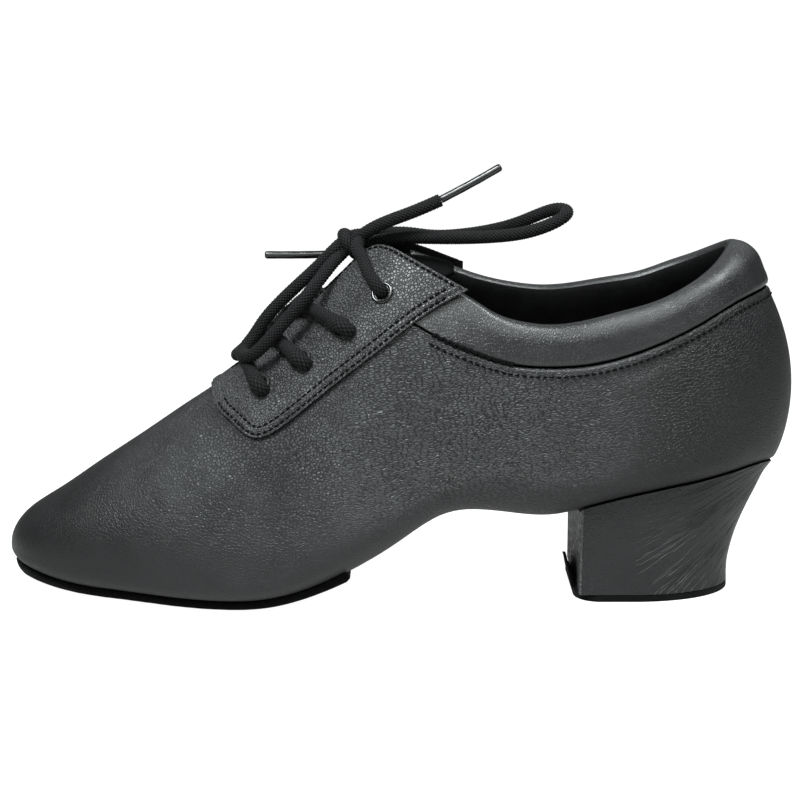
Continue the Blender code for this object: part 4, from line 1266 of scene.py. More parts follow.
@dataclass
class Collar:
    """Padded roll along the topline, round the heel from flap to flap."""

    pattern: Pattern
    finishes: Finishes
    puff: tuple = (150.0, 182.0)
    swell: tuple = (240.0, 278.0)
    swell_share: float = 0.6
    columns: int = 130
    around: int = 56
    across: float = 16.0
    pucker: tuple = (0.12, 0.25)
    # share of the way from seam to top, distance out of the wall
    profile: tuple = ((0.03, 0.0), (0.25, 1.3), (0.52, 1.8), (0.78, 1.2), (0.95, -0.6), (1.0, -2.9),
                      (0.95, -5.0), (0.72, -6.2), (0.40, -5.8), (0.14, -4.8), (-0.08, -3.6),
                      (-0.15, -2.7), (-0.06, -2.15), (0.035, -1.5))

    def ring(self) -> Array:
        """Smooth closed round of the roll, seam first."""
        loop = np.array(self.profile[-3:] + self.profile + self.profile[:3])
        reach = way_along(loop * (self.across, 1.0))
        marks = np.linspace(reach[3], reach[3 + len(self.profile)], self.around + 1)[:-1]
        return Curve(reach, loop)(marks)

    def build(self) -> Piece:
        """Closed roll with soft puckers along its seam."""
        last, pattern = self.pattern.last, self.pattern
        way = last.stations(pattern.collar_front, last.length, self.columns)
        stops = [(Side.LATERAL, station) for station in way]
        stops += [(Side.MEDIAL, station) for station in way[-2::-1]]
        ring = self.ring()
        rings = []
        for k, (side, station) in enumerate(stops):
            seam, top = float(pattern.seam_height(side, station)), float(pattern.top_height(side, station))
            fill = float(ramp(station, *self.puff)) + self.swell_share * float(ramp(station, *self.swell))
            out = np.where(ring[:, 1] > 0.0, ring[:, 1] * fill, ring[:, 1])
            pucker = math.sin(0.9 * k) * 0.5 + math.sin(0.53 * k + 1.3) * 0.5
            near = hump(ring[:, 0], 0.08, 0.16)
            inside = np.where(ring[:, 1] < -3.0, 1.0, 0.0)
            out = out + pucker * near * (self.pucker[0] + self.pucker[1] * inside)
            wave = self.pucker[0] * math.sin(0.31 * k + 0.8)
            out = out + wave * hump(ring[:, 0], 0.6, 0.3) * (1.0 - 2.0 * inside)
            height = seam + ring[:, 0] * (top - seam)
            rings.append(last.above(side, np.full(len(ring), station), height, out))
        lined = ((ring[:, 1] < -4.6) | (ring[:, 0] < 0.02)).astype(int)
        slots = np.tile(lined, len(stops) - 1).tolist() + [0, 0]
        faces = loft_faces(len(stops), len(ring))
        skins = (self.finishes.collar, self.finishes.lining)
        piece = new_mesh("collar_roll", np.concatenate(rings), faces, skins, slots)
        face_out(piece)
        return dress(piece, Slot.COLLAR, "collar")


@dataclass
class Tongue:
    """Sheet under the throat, falling back over the opening at its top."""

    pattern: Pattern
    finishes: Finishes
    thick: float = 1.6
    edge_round: float = 0.7
    columns: int = 70
    rows: int = 26
    # station, half width, drop
    table: tuple = ((72.0, 9.0, 0.0), (82.0, 13.0, 0.0), (92.0, 15.5, 0.2), (103.0, 16.5, 0.4),
                    (114.0, 17.0, 0.8), (124.0, 17.0, 2.6), (133.0, 16.5, 7.4), (142.0, 15.5, 13.2),
                    (150.0, 14.0, 16.2), (155.0, 12.0, 18.0), (158.5, 8.0, 19.4))

    def build(self) -> Piece:
        """Solid sheet with a rounded edge."""
        last = self.pattern.last
        line = table_curve(self.table)
        stations = np.linspace(self.table[0][0], self.table[-1][0], self.columns)
        width, drop = line(stations).T
        even = np.linspace(0.0, 1.0, self.rows + 1)
        halves, outer, inner = [], [], []
        for side in Side:
            start = last.angle_at_width(side, stations, width)
            angles = last.spread(side, stations, start, np.full_like(start, QUARTER), even ** 1.4)
            half = last.half(side, stations, angles)
            half.points[..., 2] -= drop[:, None]
            edge = np.minimum(half.from_low(), self.table[-1][0] - half.station)
            lift = -last.wall - 3.0 * GAP
            halves.append(half)
            outer.append(lift - rounded(edge, self.edge_round))
            inner.append(np.full_like(half.station, lift - self.thick))
        piece = closed_sheet("tongue_sheet", halves, outer, inner, (self.finishes.tongue,))
        return dress(piece, Slot.LINING, "tongue")


@dataclass
class Insole:
    """Sheet on the lasting margin inside the shoe."""

    pattern: Pattern
    finishes: Finishes
    thick: float = 2.0
    front: float = 9.0
    back: float = 265.0
    share: float = 0.75
    seat_share: float = 0.64
    waist: tuple = (110.0, 160.0)
    lift: float = 1.2
    edge_round: float = 0.6
    columns: int = 120
    rows: int = 22

    def build(self) -> Piece:
        """Solid sheet."""
        last = self.pattern.last
        stations = last.stations(self.front, self.back, self.columns)
        halves, outer, inner = [], [], []
        for side in Side:
            narrow = self.share + (self.seat_share - self.share) * ramp(stations, *self.waist)
            reach = narrow * last.section(stations).half(side)
            half = last.under(side, stations, reach, 1.0 - np.linspace(1.0, 0.0, self.rows + 1) ** 1.3)
            raised = -last.wall - 2.0 * GAP - self.lift * ramp(half.station, *self.waist)
            halves.append(half)
            outer.append(raised)
            inner.append(raised - self.thick + rounded(half.from_top(), self.edge_round))
        skins = (self.finishes.lining, self.finishes.insole)
        piece = closed_sheet("insole_sheet", halves, outer, inner, skins)
        return dress(piece, Slot.LINING, "insole")


@dataclass
class Outsole:
    """Suede sole under the forefoot, pressed flat on the floor at the ball."""

    pattern: Pattern
    finishes: Finishes
    lift: float = 0.4
    thick: float = 2.6
    front: float = 3.0
    back: float = 122.0
    nose: float = 8.0
    blunt: float = 0.9
    columns: int = 130
    rows: int = 30
    edge_round: float = 0.55

    def build(self) -> Piece:
        """Solid sole with a softly worn edge."""
        last = self.pattern.last
        stations = last.stations(self.front, self.back, self.columns)
        ahead = np.maximum(1.0 - (stations - self.front) / self.nose, 0.0)
        cover = self.pattern.tread_share * np.sqrt(1.0 - self.blunt * ahead ** 2)
        halves, outer, inner = [], [], []
        for side in Side:
            reach = cover * last.section(stations).half(side)
            half = last.under(side, stations, reach, 1.0 - np.linspace(1.0, 0.0, self.rows + 1) ** 1.6)
            edge = np.minimum(half.from_top(), self.back - half.station)
            share = np.clip(1.0 - edge / self.edge_round, 0.0, 1.0)
            wave = 0.1 * np.sin(0.55 * half.station + side.value) + 0.07 * np.sin(1.3 * half.station + 2.0)
            halves.append(half)
            outer.append(self.lift + self.thick - rounded(edge, self.edge_round) + share * wave)
            inner.append(np.full_like(half.station, self.lift))
        piece = closed_sheet("forefoot_sole", halves, outer, inner, (self.finishes.suede,))
        for vertex in piece.data.vertices:
            vertex.co.z = max(vertex.co.z, 0.0)
        return dress(piece, Slot.SUEDE, "outsole")


@dataclass
class Heel:
    """Cuban heel block in a stretched leather cover."""

    pattern: Pattern
    finishes: Finishes
    breast: float = 202.6
    corner: float = 1.3
    seat_share: float = 0.86
    seat_gap: float = 1.1
    tip_thick: float = 2.3
    levels: int = 56
    seat_rings: tuple = (0.985, 0.93, 0.82, 0.62, 0.3)
    lip: tuple = (1.8, 2.8)
    lip_rise: float = 0.22
    lip_worn: float = 0.9
    wave: float = 0.12
    # level, back, station where the round back begins, half width
    table: tuple = ((0.0, 257.6, 222.0, 23.8), (0.13, 257.5, 222.0, 23.8), (0.26, 258.3, 222.5, 23.9),
                    (0.41, 260.0, 223.0, 24.3), (0.56, 262.4, 224.0, 24.9), (0.69, 264.9, 225.0, 25.6),
                    (0.81, 267.3, 226.0, 26.3), (0.92, 269.6, 227.0, 26.8), (1.0, 272.1, 228.0, 27.2))

    def outline(self, level: float) -> Array:
        """Plan of the heel at a level: flat breast, rounded corners, straight sides and a round back.

        Args:
            level: 0 at the foot and 1 at the seat.

        Returns:
            Stations and ways out of the middle.
        """
        back, turn, half = (float(value) for value in table_curve(self.table)(level))
        front, small = self.breast, self.corner
        side = [(front, share * (half - small)) for share in np.linspace(0.0, 1.0, 16)]
        for angle in np.linspace(0.0, QUARTER, 7)[1:]:
            side.append((front + small * (1.0 - math.cos(angle)), half - small * (1.0 - math.sin(angle))))
        straight = turn - front - small
        side += [(front + small + share * straight, half) for share in np.linspace(0.0, 1.0, 18)[1:]]
        for angle in np.linspace(0.0, QUARTER, 34)[1:]:
            side.append((turn + (back - turn) * math.sin(angle), half * math.cos(angle)))
        side[-1] = (back, 0.0)
        other = [(station, -out) for station, out in side]
        return np.array(other + side[-2:0:-1])

    def seat_height(self, spots: Array) -> Array:
        """Height of the upper's underside over points of the floor plan.

        Args:
            spots: stations and ways out of the middle.

        Returns:
            One height for each point.
        """
        last = self.pattern.last
        station, out = spots[:, 0], spots[:, 1]
        nominal = station.copy()
        height = np.zeros_like(station)
        for _ in range(6):
            nominal = np.minimum(nominal, last.length - 0.5)
            cut = last.section(nominal)
            half = np.where(out < 0.0, cut.lateral, cut.medial)
            share = np.minimum(np.abs(out) / half, self.seat_share)
            height = cut.belt - (cut.belt - cut.bottom) * (1.0 - share ** cut.tread) ** (1.0 / cut.tread)
            nominal = station - last.lean(nominal, height)
        return height

    def build(self) -> Piece:
        """Solid block with a folded edge along the breast."""
        half_length = self.pattern.last.length / 2.0
        foot = self.tip_thick + GAP
        top_plan = self.outline(1.0)
        tops = self.seat_height(top_plan) - self.seat_gap
        rings, lighter_edge = [], []
        for level in np.linspace(0.0, 1.0, self.levels):
            plan = self.outline(level)
            ahead, behind = np.roll(plan, -1, axis=0), np.roll(plan, 1, axis=0)
            along = ahead - behind
            normal = np.stack((along[:, 1], -along[:, 0]), axis=1)
            normal /= np.linalg.norm(normal, axis=1, keepdims=True)
            height = foot + level * (tops - foot)
            lip = 1.0 - ramp(plan[:, 0], self.breast + self.lip[0], self.breast + self.lip[1])
            lip *= np.abs(normal[:, 1]) > 0.3
            lighter_edge.append(0.8 * lip * (plan[:, 0] < self.breast + self.lip_worn))
            flat = plan[:, 0] < self.breast + 0.05
            wave = self.wave * np.sin(0.8 * height + 0.25 * plan[:, 1]) * ramp(level, 0.35, 0.8)
            relief = self.lip_rise * lip + np.where(flat, wave, 0.0)
            spot = plan + normal * relief[:, None]
            rings.append(np.column_stack((spot[:, 0] - half_length, spot[:, 1], height)))
        centre = np.array((0.5 * (self.breast + self.table[-1][1]), 0.0))
        for share in self.seat_rings:
            spot = centre + share * (top_plan - centre)
            rings.append(np.column_stack((spot[:, 0] - half_length, spot[:, 1],
                                          self.seat_height(spot) - self.seat_gap)))
        points, count = np.concatenate(rings), len(top_plan)
        edge = np.concatenate(lighter_edge + [np.zeros(len(points) - self.levels * count)])
        faces = loft_faces(len(rings), count)
        piece = new_mesh("heel_block", points, faces, (self.finishes.heel,), edge=edge)
        face_out(piece)
        bpy.ops.object.shade_smooth_by_angle(angle=SHARP)
        return dress(piece, Slot.HEEL, "heel")


@dataclass
class HeelTip:
    """Flat suede tip with a half-round tab folded up the breast."""

    heel: Heel
    finishes: Finishes
    front: float = 201.2
    corner: float = 9.0
    tab_half: float = 13.0
    tab_foot: float = 0.6
    tab_shoulder: float = 3.0
    tab_high: float = 10.6
    tab_thick: float = 0.9
    tab_lean: float = 2.4
    tab_curl: float = 1.3
    tab_gap: float = 0.35
    tab_round: float = 0.22
    plate_round: float = 0.3
    smooth: float = math.radians(40.0)

    def outline(self) -> Array:
        """Plan of the tip: the heel's foot with rounded front corners."""
        half = self.heel.table[0][3]
        round_back = [spot for spot in self.heel.outline(0.0) if spot[0] > self.front + self.corner]
        corner = []
        for angle in np.linspace(0.0, QUARTER, 11):
            corner.append((self.front + self.corner * (1.0 - math.cos(angle)),
                           half - self.corner * (1.0 - math.sin(angle))))
        lateral = [(station, -out) for station, out in corner]
        return np.array(lateral + [tuple(spot) for spot in round_back] + corner[::-1])

    def plate(self) -> Piece:
        """Flat tip, drawn as an outline, raised and rounded at its edges."""
        plan = self.outline()
        deselect()
        bpy.ops.mesh.primitive_circle_add(vertices=len(plan), radius=1.0, fill_type='NGON')
        piece = bpy.context.object
        piece.name = "heel_tip_plate"
        half_length = self.heel.pattern.last.length / 2.0
        for vertex, (station, out) in zip(piece.data.vertices, plan):
            vertex.co = Vector((station - half_length, out, 0.0)) * MM
        bpy.ops.object.mode_set(mode='EDIT')
        bpy.ops.mesh.select_all(action='SELECT')
        rise = Vector((0.0, 0.0, self.heel.tip_thick)) * MM
        bpy.ops.mesh.extrude_region_move(TRANSFORM_OT_translate={"value": rise})
        bpy.ops.object.mode_set(mode='OBJECT')
        face_out(piece)
        apply_modifier(piece, 'BEVEL', width=self.plate_round * MM, segments=3, limit_method='ANGLE',
                       angle_limit=SHARP)
        return piece

    def tab(self) -> Piece:
        """Half-round tab that leans off the breast."""
        half_length = self.heel.pattern.last.length / 2.0
        shares = np.sin(np.linspace(-QUARTER, QUARTER, 41))[:, None]
        bow = np.sqrt(np.maximum(1.0 - shares ** 2, 0.0))
        top = self.tab_shoulder + (self.tab_high - self.tab_shoulder) * bow
        rise = np.linspace(0.0, 1.0, 17)
        height = self.tab_foot + (top - self.tab_foot) * rise
        slant = self.tab_lean * (height / self.tab_high) ** self.tab_curl
        wave = 0.12 * np.sin(0.7 * shares * self.tab_half + 1.0) * rise ** 2
        place = self.heel.breast - self.tab_gap - slant - half_length + wave
        across = np.broadcast_to(shares * self.tab_half, height.shape)
        front = np.stack((place - self.tab_thick, across, height), axis=-1)
        back = front + (self.tab_thick, 0.0, 0.0)
        count = height.size
        number = np.arange(count).reshape(height.shape)
        grid = grid_faces(number)
        rim = np.concatenate((number[0], number[1:, -1], number[-1, -2::-1], number[-2:0:-1, 0]))
        walls = np.stack((rim, np.roll(rim, -1), np.roll(rim, -1) + count, rim + count), axis=-1)
        faces = np.concatenate((grid, grid[:, ::-1] + count, walls)).tolist()
        points = np.concatenate((front.reshape(-1, 3), back.reshape(-1, 3)))
        piece = new_mesh("heel_tip_tab", points, faces, ())
        face_out(piece)
        apply_modifier(piece, 'BEVEL', width=self.tab_round * MM, segments=2, limit_method='ANGLE',
                       angle_limit=SHARP)
        return piece

    def build(self) -> Piece:
        """Tip and tab as one piece."""
        piece = join([self.plate(), self.tab()])
        piece.data.materials.clear()
        piece.data.materials.append(self.finishes.suede)
        bpy.ops.object.shade_smooth_by_angle(angle=self.smooth)
        return dress(piece, Slot.SUEDE, "heel_tip")


@dataclass
class Eyelets:
    """Rolled enamelled rings with a barrel."""

    pattern: Pattern
    finishes: Finishes
    seat: float = 1.95
    ring_radius: float = 3.3
    # half width, rise, depth under its seat
    roll: tuple = (0.66, 0.62, 0.12)
    hole: float = 2.5
    hole_room: float = 0.3
    deep: float = 2.4
    barrel_room: float = 0.12
    barrel_wall: float = 0.22
    cut_deep: float = 9.0
    steps: int = 40
    open_ring: int = 1

    def frame(self, side: Side, station: float, height: float, lifted: float) -> Matrix:
        """Matrix with Z out of the upper at an eyelet."""
        place, normal = (Vector(spot) for spot in self.pattern.last.spot(side, station, height))
        place = (place + normal * lifted) * MM
        return Matrix.Translation(place) @ normal.to_track_quat('Z', 'X').to_matrix().to_4x4()

    def ring(self) -> Piece:
        """One ring: a flattened round spun about the hole."""
        deselect()
        bpy.ops.mesh.primitive_circle_add(vertices=18, radius=1.0, location=(0.0, 0.0, 0.0))
        piece = bpy.context.object
        for vertex in piece.data.vertices:
            across, up = vertex.co.x, vertex.co.y
            high = up * (self.roll[1] if up > 0.0 else self.roll[2])
            vertex.co = Vector((self.ring_radius + across * self.roll[0], 0.0, high)) * MM
        bpy.ops.object.mode_set(mode='EDIT')
        bpy.ops.mesh.select_all(action='SELECT')
        bpy.ops.mesh.spin(steps=self.steps, angle=2.0 * math.pi, center=(0.0, 0.0, 0.0), axis=(0.0, 0.0, 1.0))
        bpy.ops.mesh.select_all(action='SELECT')
        bpy.ops.mesh.remove_doubles(threshold=0.002 * MM)
        bpy.ops.object.mode_set(mode='OBJECT')
        face_out(piece)
        return piece

    def barrel(self) -> Piece:
        """Tube under the ring."""
        deselect()
        bpy.ops.mesh.primitive_cylinder_add(vertices=self.steps, radius=(self.hole + self.barrel_room) * MM,
                                            depth=self.deep * MM, end_fill_type='NOTHING')
        piece = bpy.context.object
        piece.data.transform(Matrix.Translation((0.0, 0.0, -0.5 * self.deep * MM)))
        apply_modifier(piece, 'SOLIDIFY', thickness=self.barrel_wall * MM, offset=0.0)
        return piece

    def cut(self, *sheets: Piece) -> None:
        """Cut the holes into the sheets that the rings hold together.

        Args:
            sheets: pieces to cut.
        """
        cutters = []
        for side in Side:
            for _, station, height, _ in self.pattern.eyelets:
                deselect()
                bpy.ops.mesh.primitive_cylinder_add(vertices=self.steps, depth=self.cut_deep * MM,
                                                    radius=(self.hole + self.hole_room) * MM)
                cutters.append(bpy.context.object)
                cutters[-1].data.transform(self.frame(side, station, height, 0.0))
        cutter = join(cutters)
        for sheet in sheets:
            apply_modifier(sheet, 'BOOLEAN', operation='DIFFERENCE', solver='MANIFOLD', object=cutter)
        bpy.data.objects.remove(cutter)

    def build(self) -> Piece:
        """Eight rings in one piece."""
        ring = join([self.ring(), self.barrel()])
        copies, names = [], []
        for side in Side:
            for number, station, height, _ in self.pattern.eyelets:
                copy = ring.copy()
                copy.data = ring.data.copy()
                copy.data.transform(self.frame(side, station, height, self.seat))
                copy.data.materials.clear()
                finish = self.finishes.metal if number == self.open_ring else self.finishes.dull
                copy.data.materials.append(finish)
                bpy.context.scene.collection.objects.link(copy)
                copies.append(copy)
                names.append("eyelet_%s_%d" % (side.name.lower(), number))
        bpy.data.objects.remove(ring)
        piece = join(copies)
        piece.name = "eyelet_rings"
        bpy.ops.object.shade_smooth_by_angle(angle=SHARP)
        return dress(piece, Slot.METAL, *names)


@dataclass
class Lace:
    """Braided lace: bar and crossings over the throat, and two cords that tie the bow."""

    pattern: Pattern
    finishes: Finishes
    radius: float = 2.1
    lift: float = 4.1
    around: int = 60
    step: float = 0.24
    carriers: int = 10
    pitch: float = 1.3
    relief: float = 0.9
    bunch: float = 0.85
    bunch_lift: float = 2.6
    bunch_width: float = 3.6
    axis_reach: float = 0.6
    strand_room: float = 3.4
    strand_sink: float = 0.6
    strand_lowest: float = 2.6
    cross_tail: float = 2.2
    cross_sunk: float = 0.4
    # share of the way to the eyelet, rise over its ring
    strand: tuple = ((0.0, 0.0), (0.16, 0.0), (0.34, 0.0), (0.6, 0.2), (0.8, 0.8))
    # way back from the eyelet, height over the last: bend of a strand down into its hole
    dive: tuple = ((0.8, 4.8), (-2.2, 4.2), (-3.3, 2.4), (-1.5, 0.2), (0.0, -3.4))
    # height over the last, way up along the flap: lace out of a top eyelet
    emerge: tuple = ((-3.4, 0.0), (-0.4, 0.4), (2.3, 1.2))
    # way towards the toe, way up on the lateral and medial side, extra height
    riser: tuple = ((3.4, 4.8, 4.2, 0.0), (5.1, 9.0, 8.6, 0.0), (6.5, 11.8, 11.2, 0.4))
    knot: tuple = (-16.0, -3.0, 123.2)
    coil: float = 3.7
    coil_wide: float = 1.15
    coil_tilt: float = 42.0
    coil_step: float = 40.0
    # the knot's turn: first and last angle, first and last place along the bow
    coil_turn: tuple = (-20.0, 300.0, 1.0, -1.2)
    # places about the knot: the lateral cord's tuck, and the cords between their loops, turns and ends
    tuck: tuple = ((4.0, -2.6, 2.6), (1.4, 1.6, 2.4), (-0.6, 3.6, 0.2), (0.6, 2.4, -1.4))
    under_knot: tuple = (0.2, -0.3, -0.4)
    out_of_turn: tuple = (-1.2, 0.4, 0.2)
    behind_knot: tuple = (0.4, -2.2, 0.0)
    aglet_radius: float = 1.35
    aglet_step: float = 0.35
    loop_front: tuple = (
        (-20.4, -5.4, 122.2), (-24.4, -6.2, 118.2), (-32.4, -7.4, 110.7), (-40.6, -8.6, 103.0),
        (-46.1, -9.4, 96.7), (-50.0, -10.4, 91.0), (-52.6, -12.4, 87.6), (-52.7, -15.4, 86.2),
        (-50.4, -18.6, 86.2), (-47.0, -20.6, 88.6), (-41.2, -21.2, 94.8), (-36.0, -20.4, 100.7),
        (-30.9, -19.0, 106.6), (-26.3, -15.0, 112.0), (-22.4, -10.4, 116.6), (-18.6, -5.6, 120.2))
    loop_back: tuple = (
        (-12.7, -0.1, 124.7), (-4.0, 3.0, 126.2), (2.9, 5.0, 125.8), (11.6, 6.4, 124.7), (22.0, 7.0, 124.9),
        (32.4, 7.2, 126.4), (42.8, 7.2, 129.2), (50.6, 6.8, 132.4), (56.4, 4.8, 134.2), (59.0, 0.6, 133.8),
        (57.4, -4.0, 132.2), (51.6, -6.6, 129.5), (42.9, -7.2, 127.0), (32.4, -7.2, 125.8),
        (22.0, -7.0, 125.4), (11.6, -6.6, 125.4), (1.1, -5.6, 125.2), (-6.0, -4.8, 124.2),
        (-12.0, -4.1, 123.0))
    end_back: tuple = ((-13.5, -7.2, 125.2), (-8.6, -9.2, 128.7), (-4.0, -10.0, 131.0), (4.6, -9.4, 134.2),
                       (14.9, -7.6, 138.4))
    aglet_back: tuple = ((15.2, -7.5, 138.6), (25.3, -6.2, 143.8), (35.7, -5.0, 149.6))
    end_front: tuple = ((-19.0, 1.2, 121.6), (-21.4, 3.2, 119.5), (-24.0, 4.0, 118.4))
    aglet_front: tuple = ((-23.8, 4.0, 118.4), (-35.0, 4.0, 118.2), (-46.2, 4.0, 118.2))

    def weave(self, angle: Array, way: Array) -> Array:
        """Strands that cross over and under each other.

        Args:
            angle: angles round the lace.
            way: ways along it.

        Returns:
            Heights from 0 to 1, one row for each way.
        """
        turns, steps = self.carriers * angle[None] / (2.0 * np.pi), way[:, None] / self.pitch
        right, left = turns + steps, turns - steps
        over = 0.5 + 0.5 * np.sin(np.pi * (left + np.floor(right)))
        under = 0.5 + 0.5 * np.sin(np.pi * (right + np.floor(left)) + np.pi)
        strands = []
        for strand, lifted in ((right, over), (left, under)):
            bulge = np.sqrt(np.maximum(1.0 - (2.0 * (strand % 1.0) - 1.0) ** 2, 0.0))
            strands.append(bulge * (0.35 + 0.65 * lifted))
        return np.maximum(*strands)

    def tube(self, name: str, line: Array, radius: Array, material: Material, woven: bool) -> Piece:
        """Round tube along a line, with raised strands where it is woven.

        Args:
            name: name of the object.
            line: centres of its rings.
            radius: radius at each ring.
            material: its material.
            woven: whether its surface is braided.

        Returns:
            The object.
        """
        along = np.gradient(line, axis=0)
        along /= np.linalg.norm(along, axis=1, keepdims=True)
        across = np.cross(along[0], (0.0, 0.0, 1.0))
        if np.linalg.norm(across) < 0.1:
            across = np.cross(along[0], (0.0, 1.0, 0.0))
        frames = []
        for tangent in along:
            across = across - tangent * (across @ tangent)
            across = across / np.linalg.norm(across)
            frames.append((across, np.cross(tangent, across)))
        frames = np.array(frames)
        angle = np.linspace(0.0, 2.0 * np.pi, self.around, endpoint=False)
        height = np.full((len(line), self.around), 0.8)
        full = radius[:, None]
        if woven:
            height = self.weave(angle, way_along(line))
            full = full + self.relief * (height - 0.75)
        circle = (frames[:, None, 0] * np.cos(angle)[None, :, None]
                  + frames[:, None, 1] * np.sin(angle)[None, :, None])
        points = (line[:, None] + circle * full[..., None]).reshape(-1, 3)
        faces = loft_faces(len(line), self.around)
        return new_mesh(name, points, faces, (material,), relief=height.reshape(-1))

    def sunk(self, side: Side, station: float, out: float) -> float:
        """How deep the lace lies between the flaps, less where the throat is narrow."""
        pattern = self.pattern
        throat = pattern.lines["throat"](min(max(station, pattern.throat_start), pattern.flap_corner))
        room = max(min(throat) - self.strand_room, 0.0)
        deep = min(self.strand_sink * room, self.strand_lowest)
        return deep * (1.0 - float(ramp(out, 0.0, side.pick(throat))))

    def strand_point(self, side: Side, station: float, out: float, sunk: float) -> Array:
        """Point of the lace above the last."""
        last = self.pattern.last
        angle = last.angle_at_width(side, station, max(out, self.axis_reach))
        return last.surface(side, station, angle) + last.outward(side, station, angle) * (self.lift - sunk)

    def into_eyelet(self, side: Side, station: float, height: float, before: Array) -> list[Array]:
        """Points of a strand that bends over an eyelet's ring and down its hole."""
        place, normal = self.pattern.last.spot(side, station, height)
        back = before - place
        back = back - normal * (back @ normal)
        back = back / np.linalg.norm(back)
        return [place + back * away + normal * up for away, up in self.dive]

    def swollen(self, line: Array, row: tuple, *sides: Side) -> Array:
        """Radius of a lace along its line, bunched up where it goes into an eyelet."""
        radius = np.full(len(line), self.radius)
        for side in sides:
            spot = self.pattern.last.above(side, row[1], row[2], self.bunch_lift)
            radius += self.bunch * hump(np.linalg.norm(line - spot, axis=1), 0.0, self.bunch_width)
        return radius

    def over_flap(self, row: tuple, side: Side) -> list[Array]:
        """Route of a strand from the throat's middle over one flap's edge into its eyelet.

        Args:
            row: row of the eyelets' table.
            side: side of the eyelet.

        Returns:
            Points of the route.
        """
        _, station, height, ahead = row
        last = self.pattern.last
        place, _ = last.spot(side, station, height)
        reach = abs(place[1] - float(last.section(station).axis)) + 1.0
        route = []
        for share, lifted in self.strand:
            here, out = station - ahead * (1.0 - share), share * reach
            route.append(self.strand_point(side, here, out, self.sunk(side, here, out) - lifted))
        return route + self.into_eyelet(side, station, height, route[-1])

    def build_crossings(self) -> list[Piece]:
        """Bar and crossings over the throat."""
        rows, braid = self.pattern.eyelets, self.finishes.braid
        low = rows[3]
        route = self.over_flap(low, Side.LATERAL)[::-1] + self.over_flap(low, Side.MEDIAL)
        line = even_line(np.array(route), self.step)
        bar = self.tube("lace_bar_braid", line, self.swollen(line, low, *Side), braid, True)
        pieces = [dress(bar, Slot.BRAID, "lace_bar")]
        for word, row in (("lower", rows[2]), ("upper", rows[1])):
            strands = []
            for side, other in ((Side.LATERAL, Side.MEDIAL), (Side.MEDIAL, Side.LATERAL)):
                station = row[1] - row[3] - self.cross_tail
                sunk = self.sunk(other, station, self.cross_tail) + self.cross_sunk
                tail = self.strand_point(other, station, self.cross_tail, sunk)
                line = even_line(np.array([tail] + self.over_flap(row, side)), self.step)
                radius = self.swollen(line, row, side)
                strands.append(self.tube("lace_cross_%s_braid" % word, line, radius, braid, True))
            pieces.append(dress(join(strands), Slot.BRAID, "lace_cross_" + word))
        return pieces

    def rise(self, side: Side) -> list[Array]:
        """Lace out of a top eyelet and over the flap's edge to the knot.

        Args:
            side: side of the eyelet.

        Returns:
            Points of the lace.
        """
        last = self.pattern.last
        _, station, height, _ = self.pattern.eyelets[0]
        place, normal = last.spot(side, station, height)
        up = last.above(side, station - self.riser[0][0], height + self.riser[0][1], 0.0) - place
        up /= np.linalg.norm(up)
        points = [place + normal * out + up * along for out, along in self.emerge]
        for ahead, lateral, medial, extra in self.riser:
            high = height + side.pick((lateral, medial))
            points.append(last.above(side, station - ahead, high, self.lift + extra))
        return points

    def turn(self, start: float, stop: float, first: float, last: float) -> list[Array]:
        """Turn of the knot round the bow's line.

        Args:
            start: first angle in degrees, 90 on top and 180 on the lateral side.
            stop: last angle.
            first: place along the bow at the start.
            last: place along the bow at the end.

        Returns:
            Points of the turn.
        """
        steps = max(int(abs(stop - start) / self.coil_step), 2)
        tilt = math.radians(self.coil_tilt)
        points = []
        for share in np.linspace(0.0, 1.0, steps + 1):
            angle = math.radians(start + share * (stop - start))
            along, up = first + share * (last - first), self.coil * math.sin(angle)
            shift = (along * math.cos(tilt) - up * math.sin(tilt),
                     self.coil * self.coil_wide * math.cos(angle),
                     along * math.sin(tilt) + up * math.cos(tilt))
            points.append(np.array(self.knot) + np.array(shift))
        return points

    def aglet(self, name: str, route: Sequence, node: str) -> Piece:
        """Sleeve on a lace end, rounded at its tip."""
        line = even_line(np.array(route), self.aglet_step)
        share = np.linspace(0.0, 1.0, len(line))
        radius = self.aglet_radius * (1.0 + 0.012 * np.sin(23.0 * share))
        radius = radius * np.sqrt(np.clip(1.0 - ramp(share, 0.965, 1.004) ** 2 * 0.6, 0.0, 1.0))
        piece = self.tube(name, line, radius, self.finishes.aglet, False)
        return dress(piece, Slot.AGLET, node)

    def build_bow(self) -> list[Piece]:
        """Two cords from the top eyelets through the knot, a loop each, to their tipped ends."""
        centre = np.array(self.knot)
        lateral, medial = self.rise(Side.LATERAL), self.rise(Side.MEDIAL)[:-1]
        first = lateral + [centre + np.array(spot) for spot in self.tuck]
        first += list(self.loop_back) + [centre + self.under_knot] + list(self.end_front)
        second = medial + self.turn(*self.coil_turn) + [centre + self.out_of_turn]
        second += list(self.loop_front) + [centre + self.behind_knot] + list(self.end_back)
        rows = (("lateral", first, lateral[2], "front", self.aglet_front,
                 ("lace_loop_back", "lace_end_front", "lace_knot")),
                ("medial", second, medial[2], "back", self.aglet_back, ("lace_loop_front", "lace_end_back")))
        pieces = []
        for word, route, leaves, end, tip_route, nodes in rows:
            line = even_line(np.array(route), self.step)
            radius = np.full(len(line), self.radius)
            cord = self.tube("lace_%s_cord" % word, line, radius, self.finishes.braid, True)
            dress(cord, Slot.BRAID, *nodes)
            tip = self.aglet("aglet_%s_sleeve" % end, tip_route, "aglet_" + end)
            length = float(way_along(line)[-1]) * MM
            pieces += [cord, tip]
        return pieces


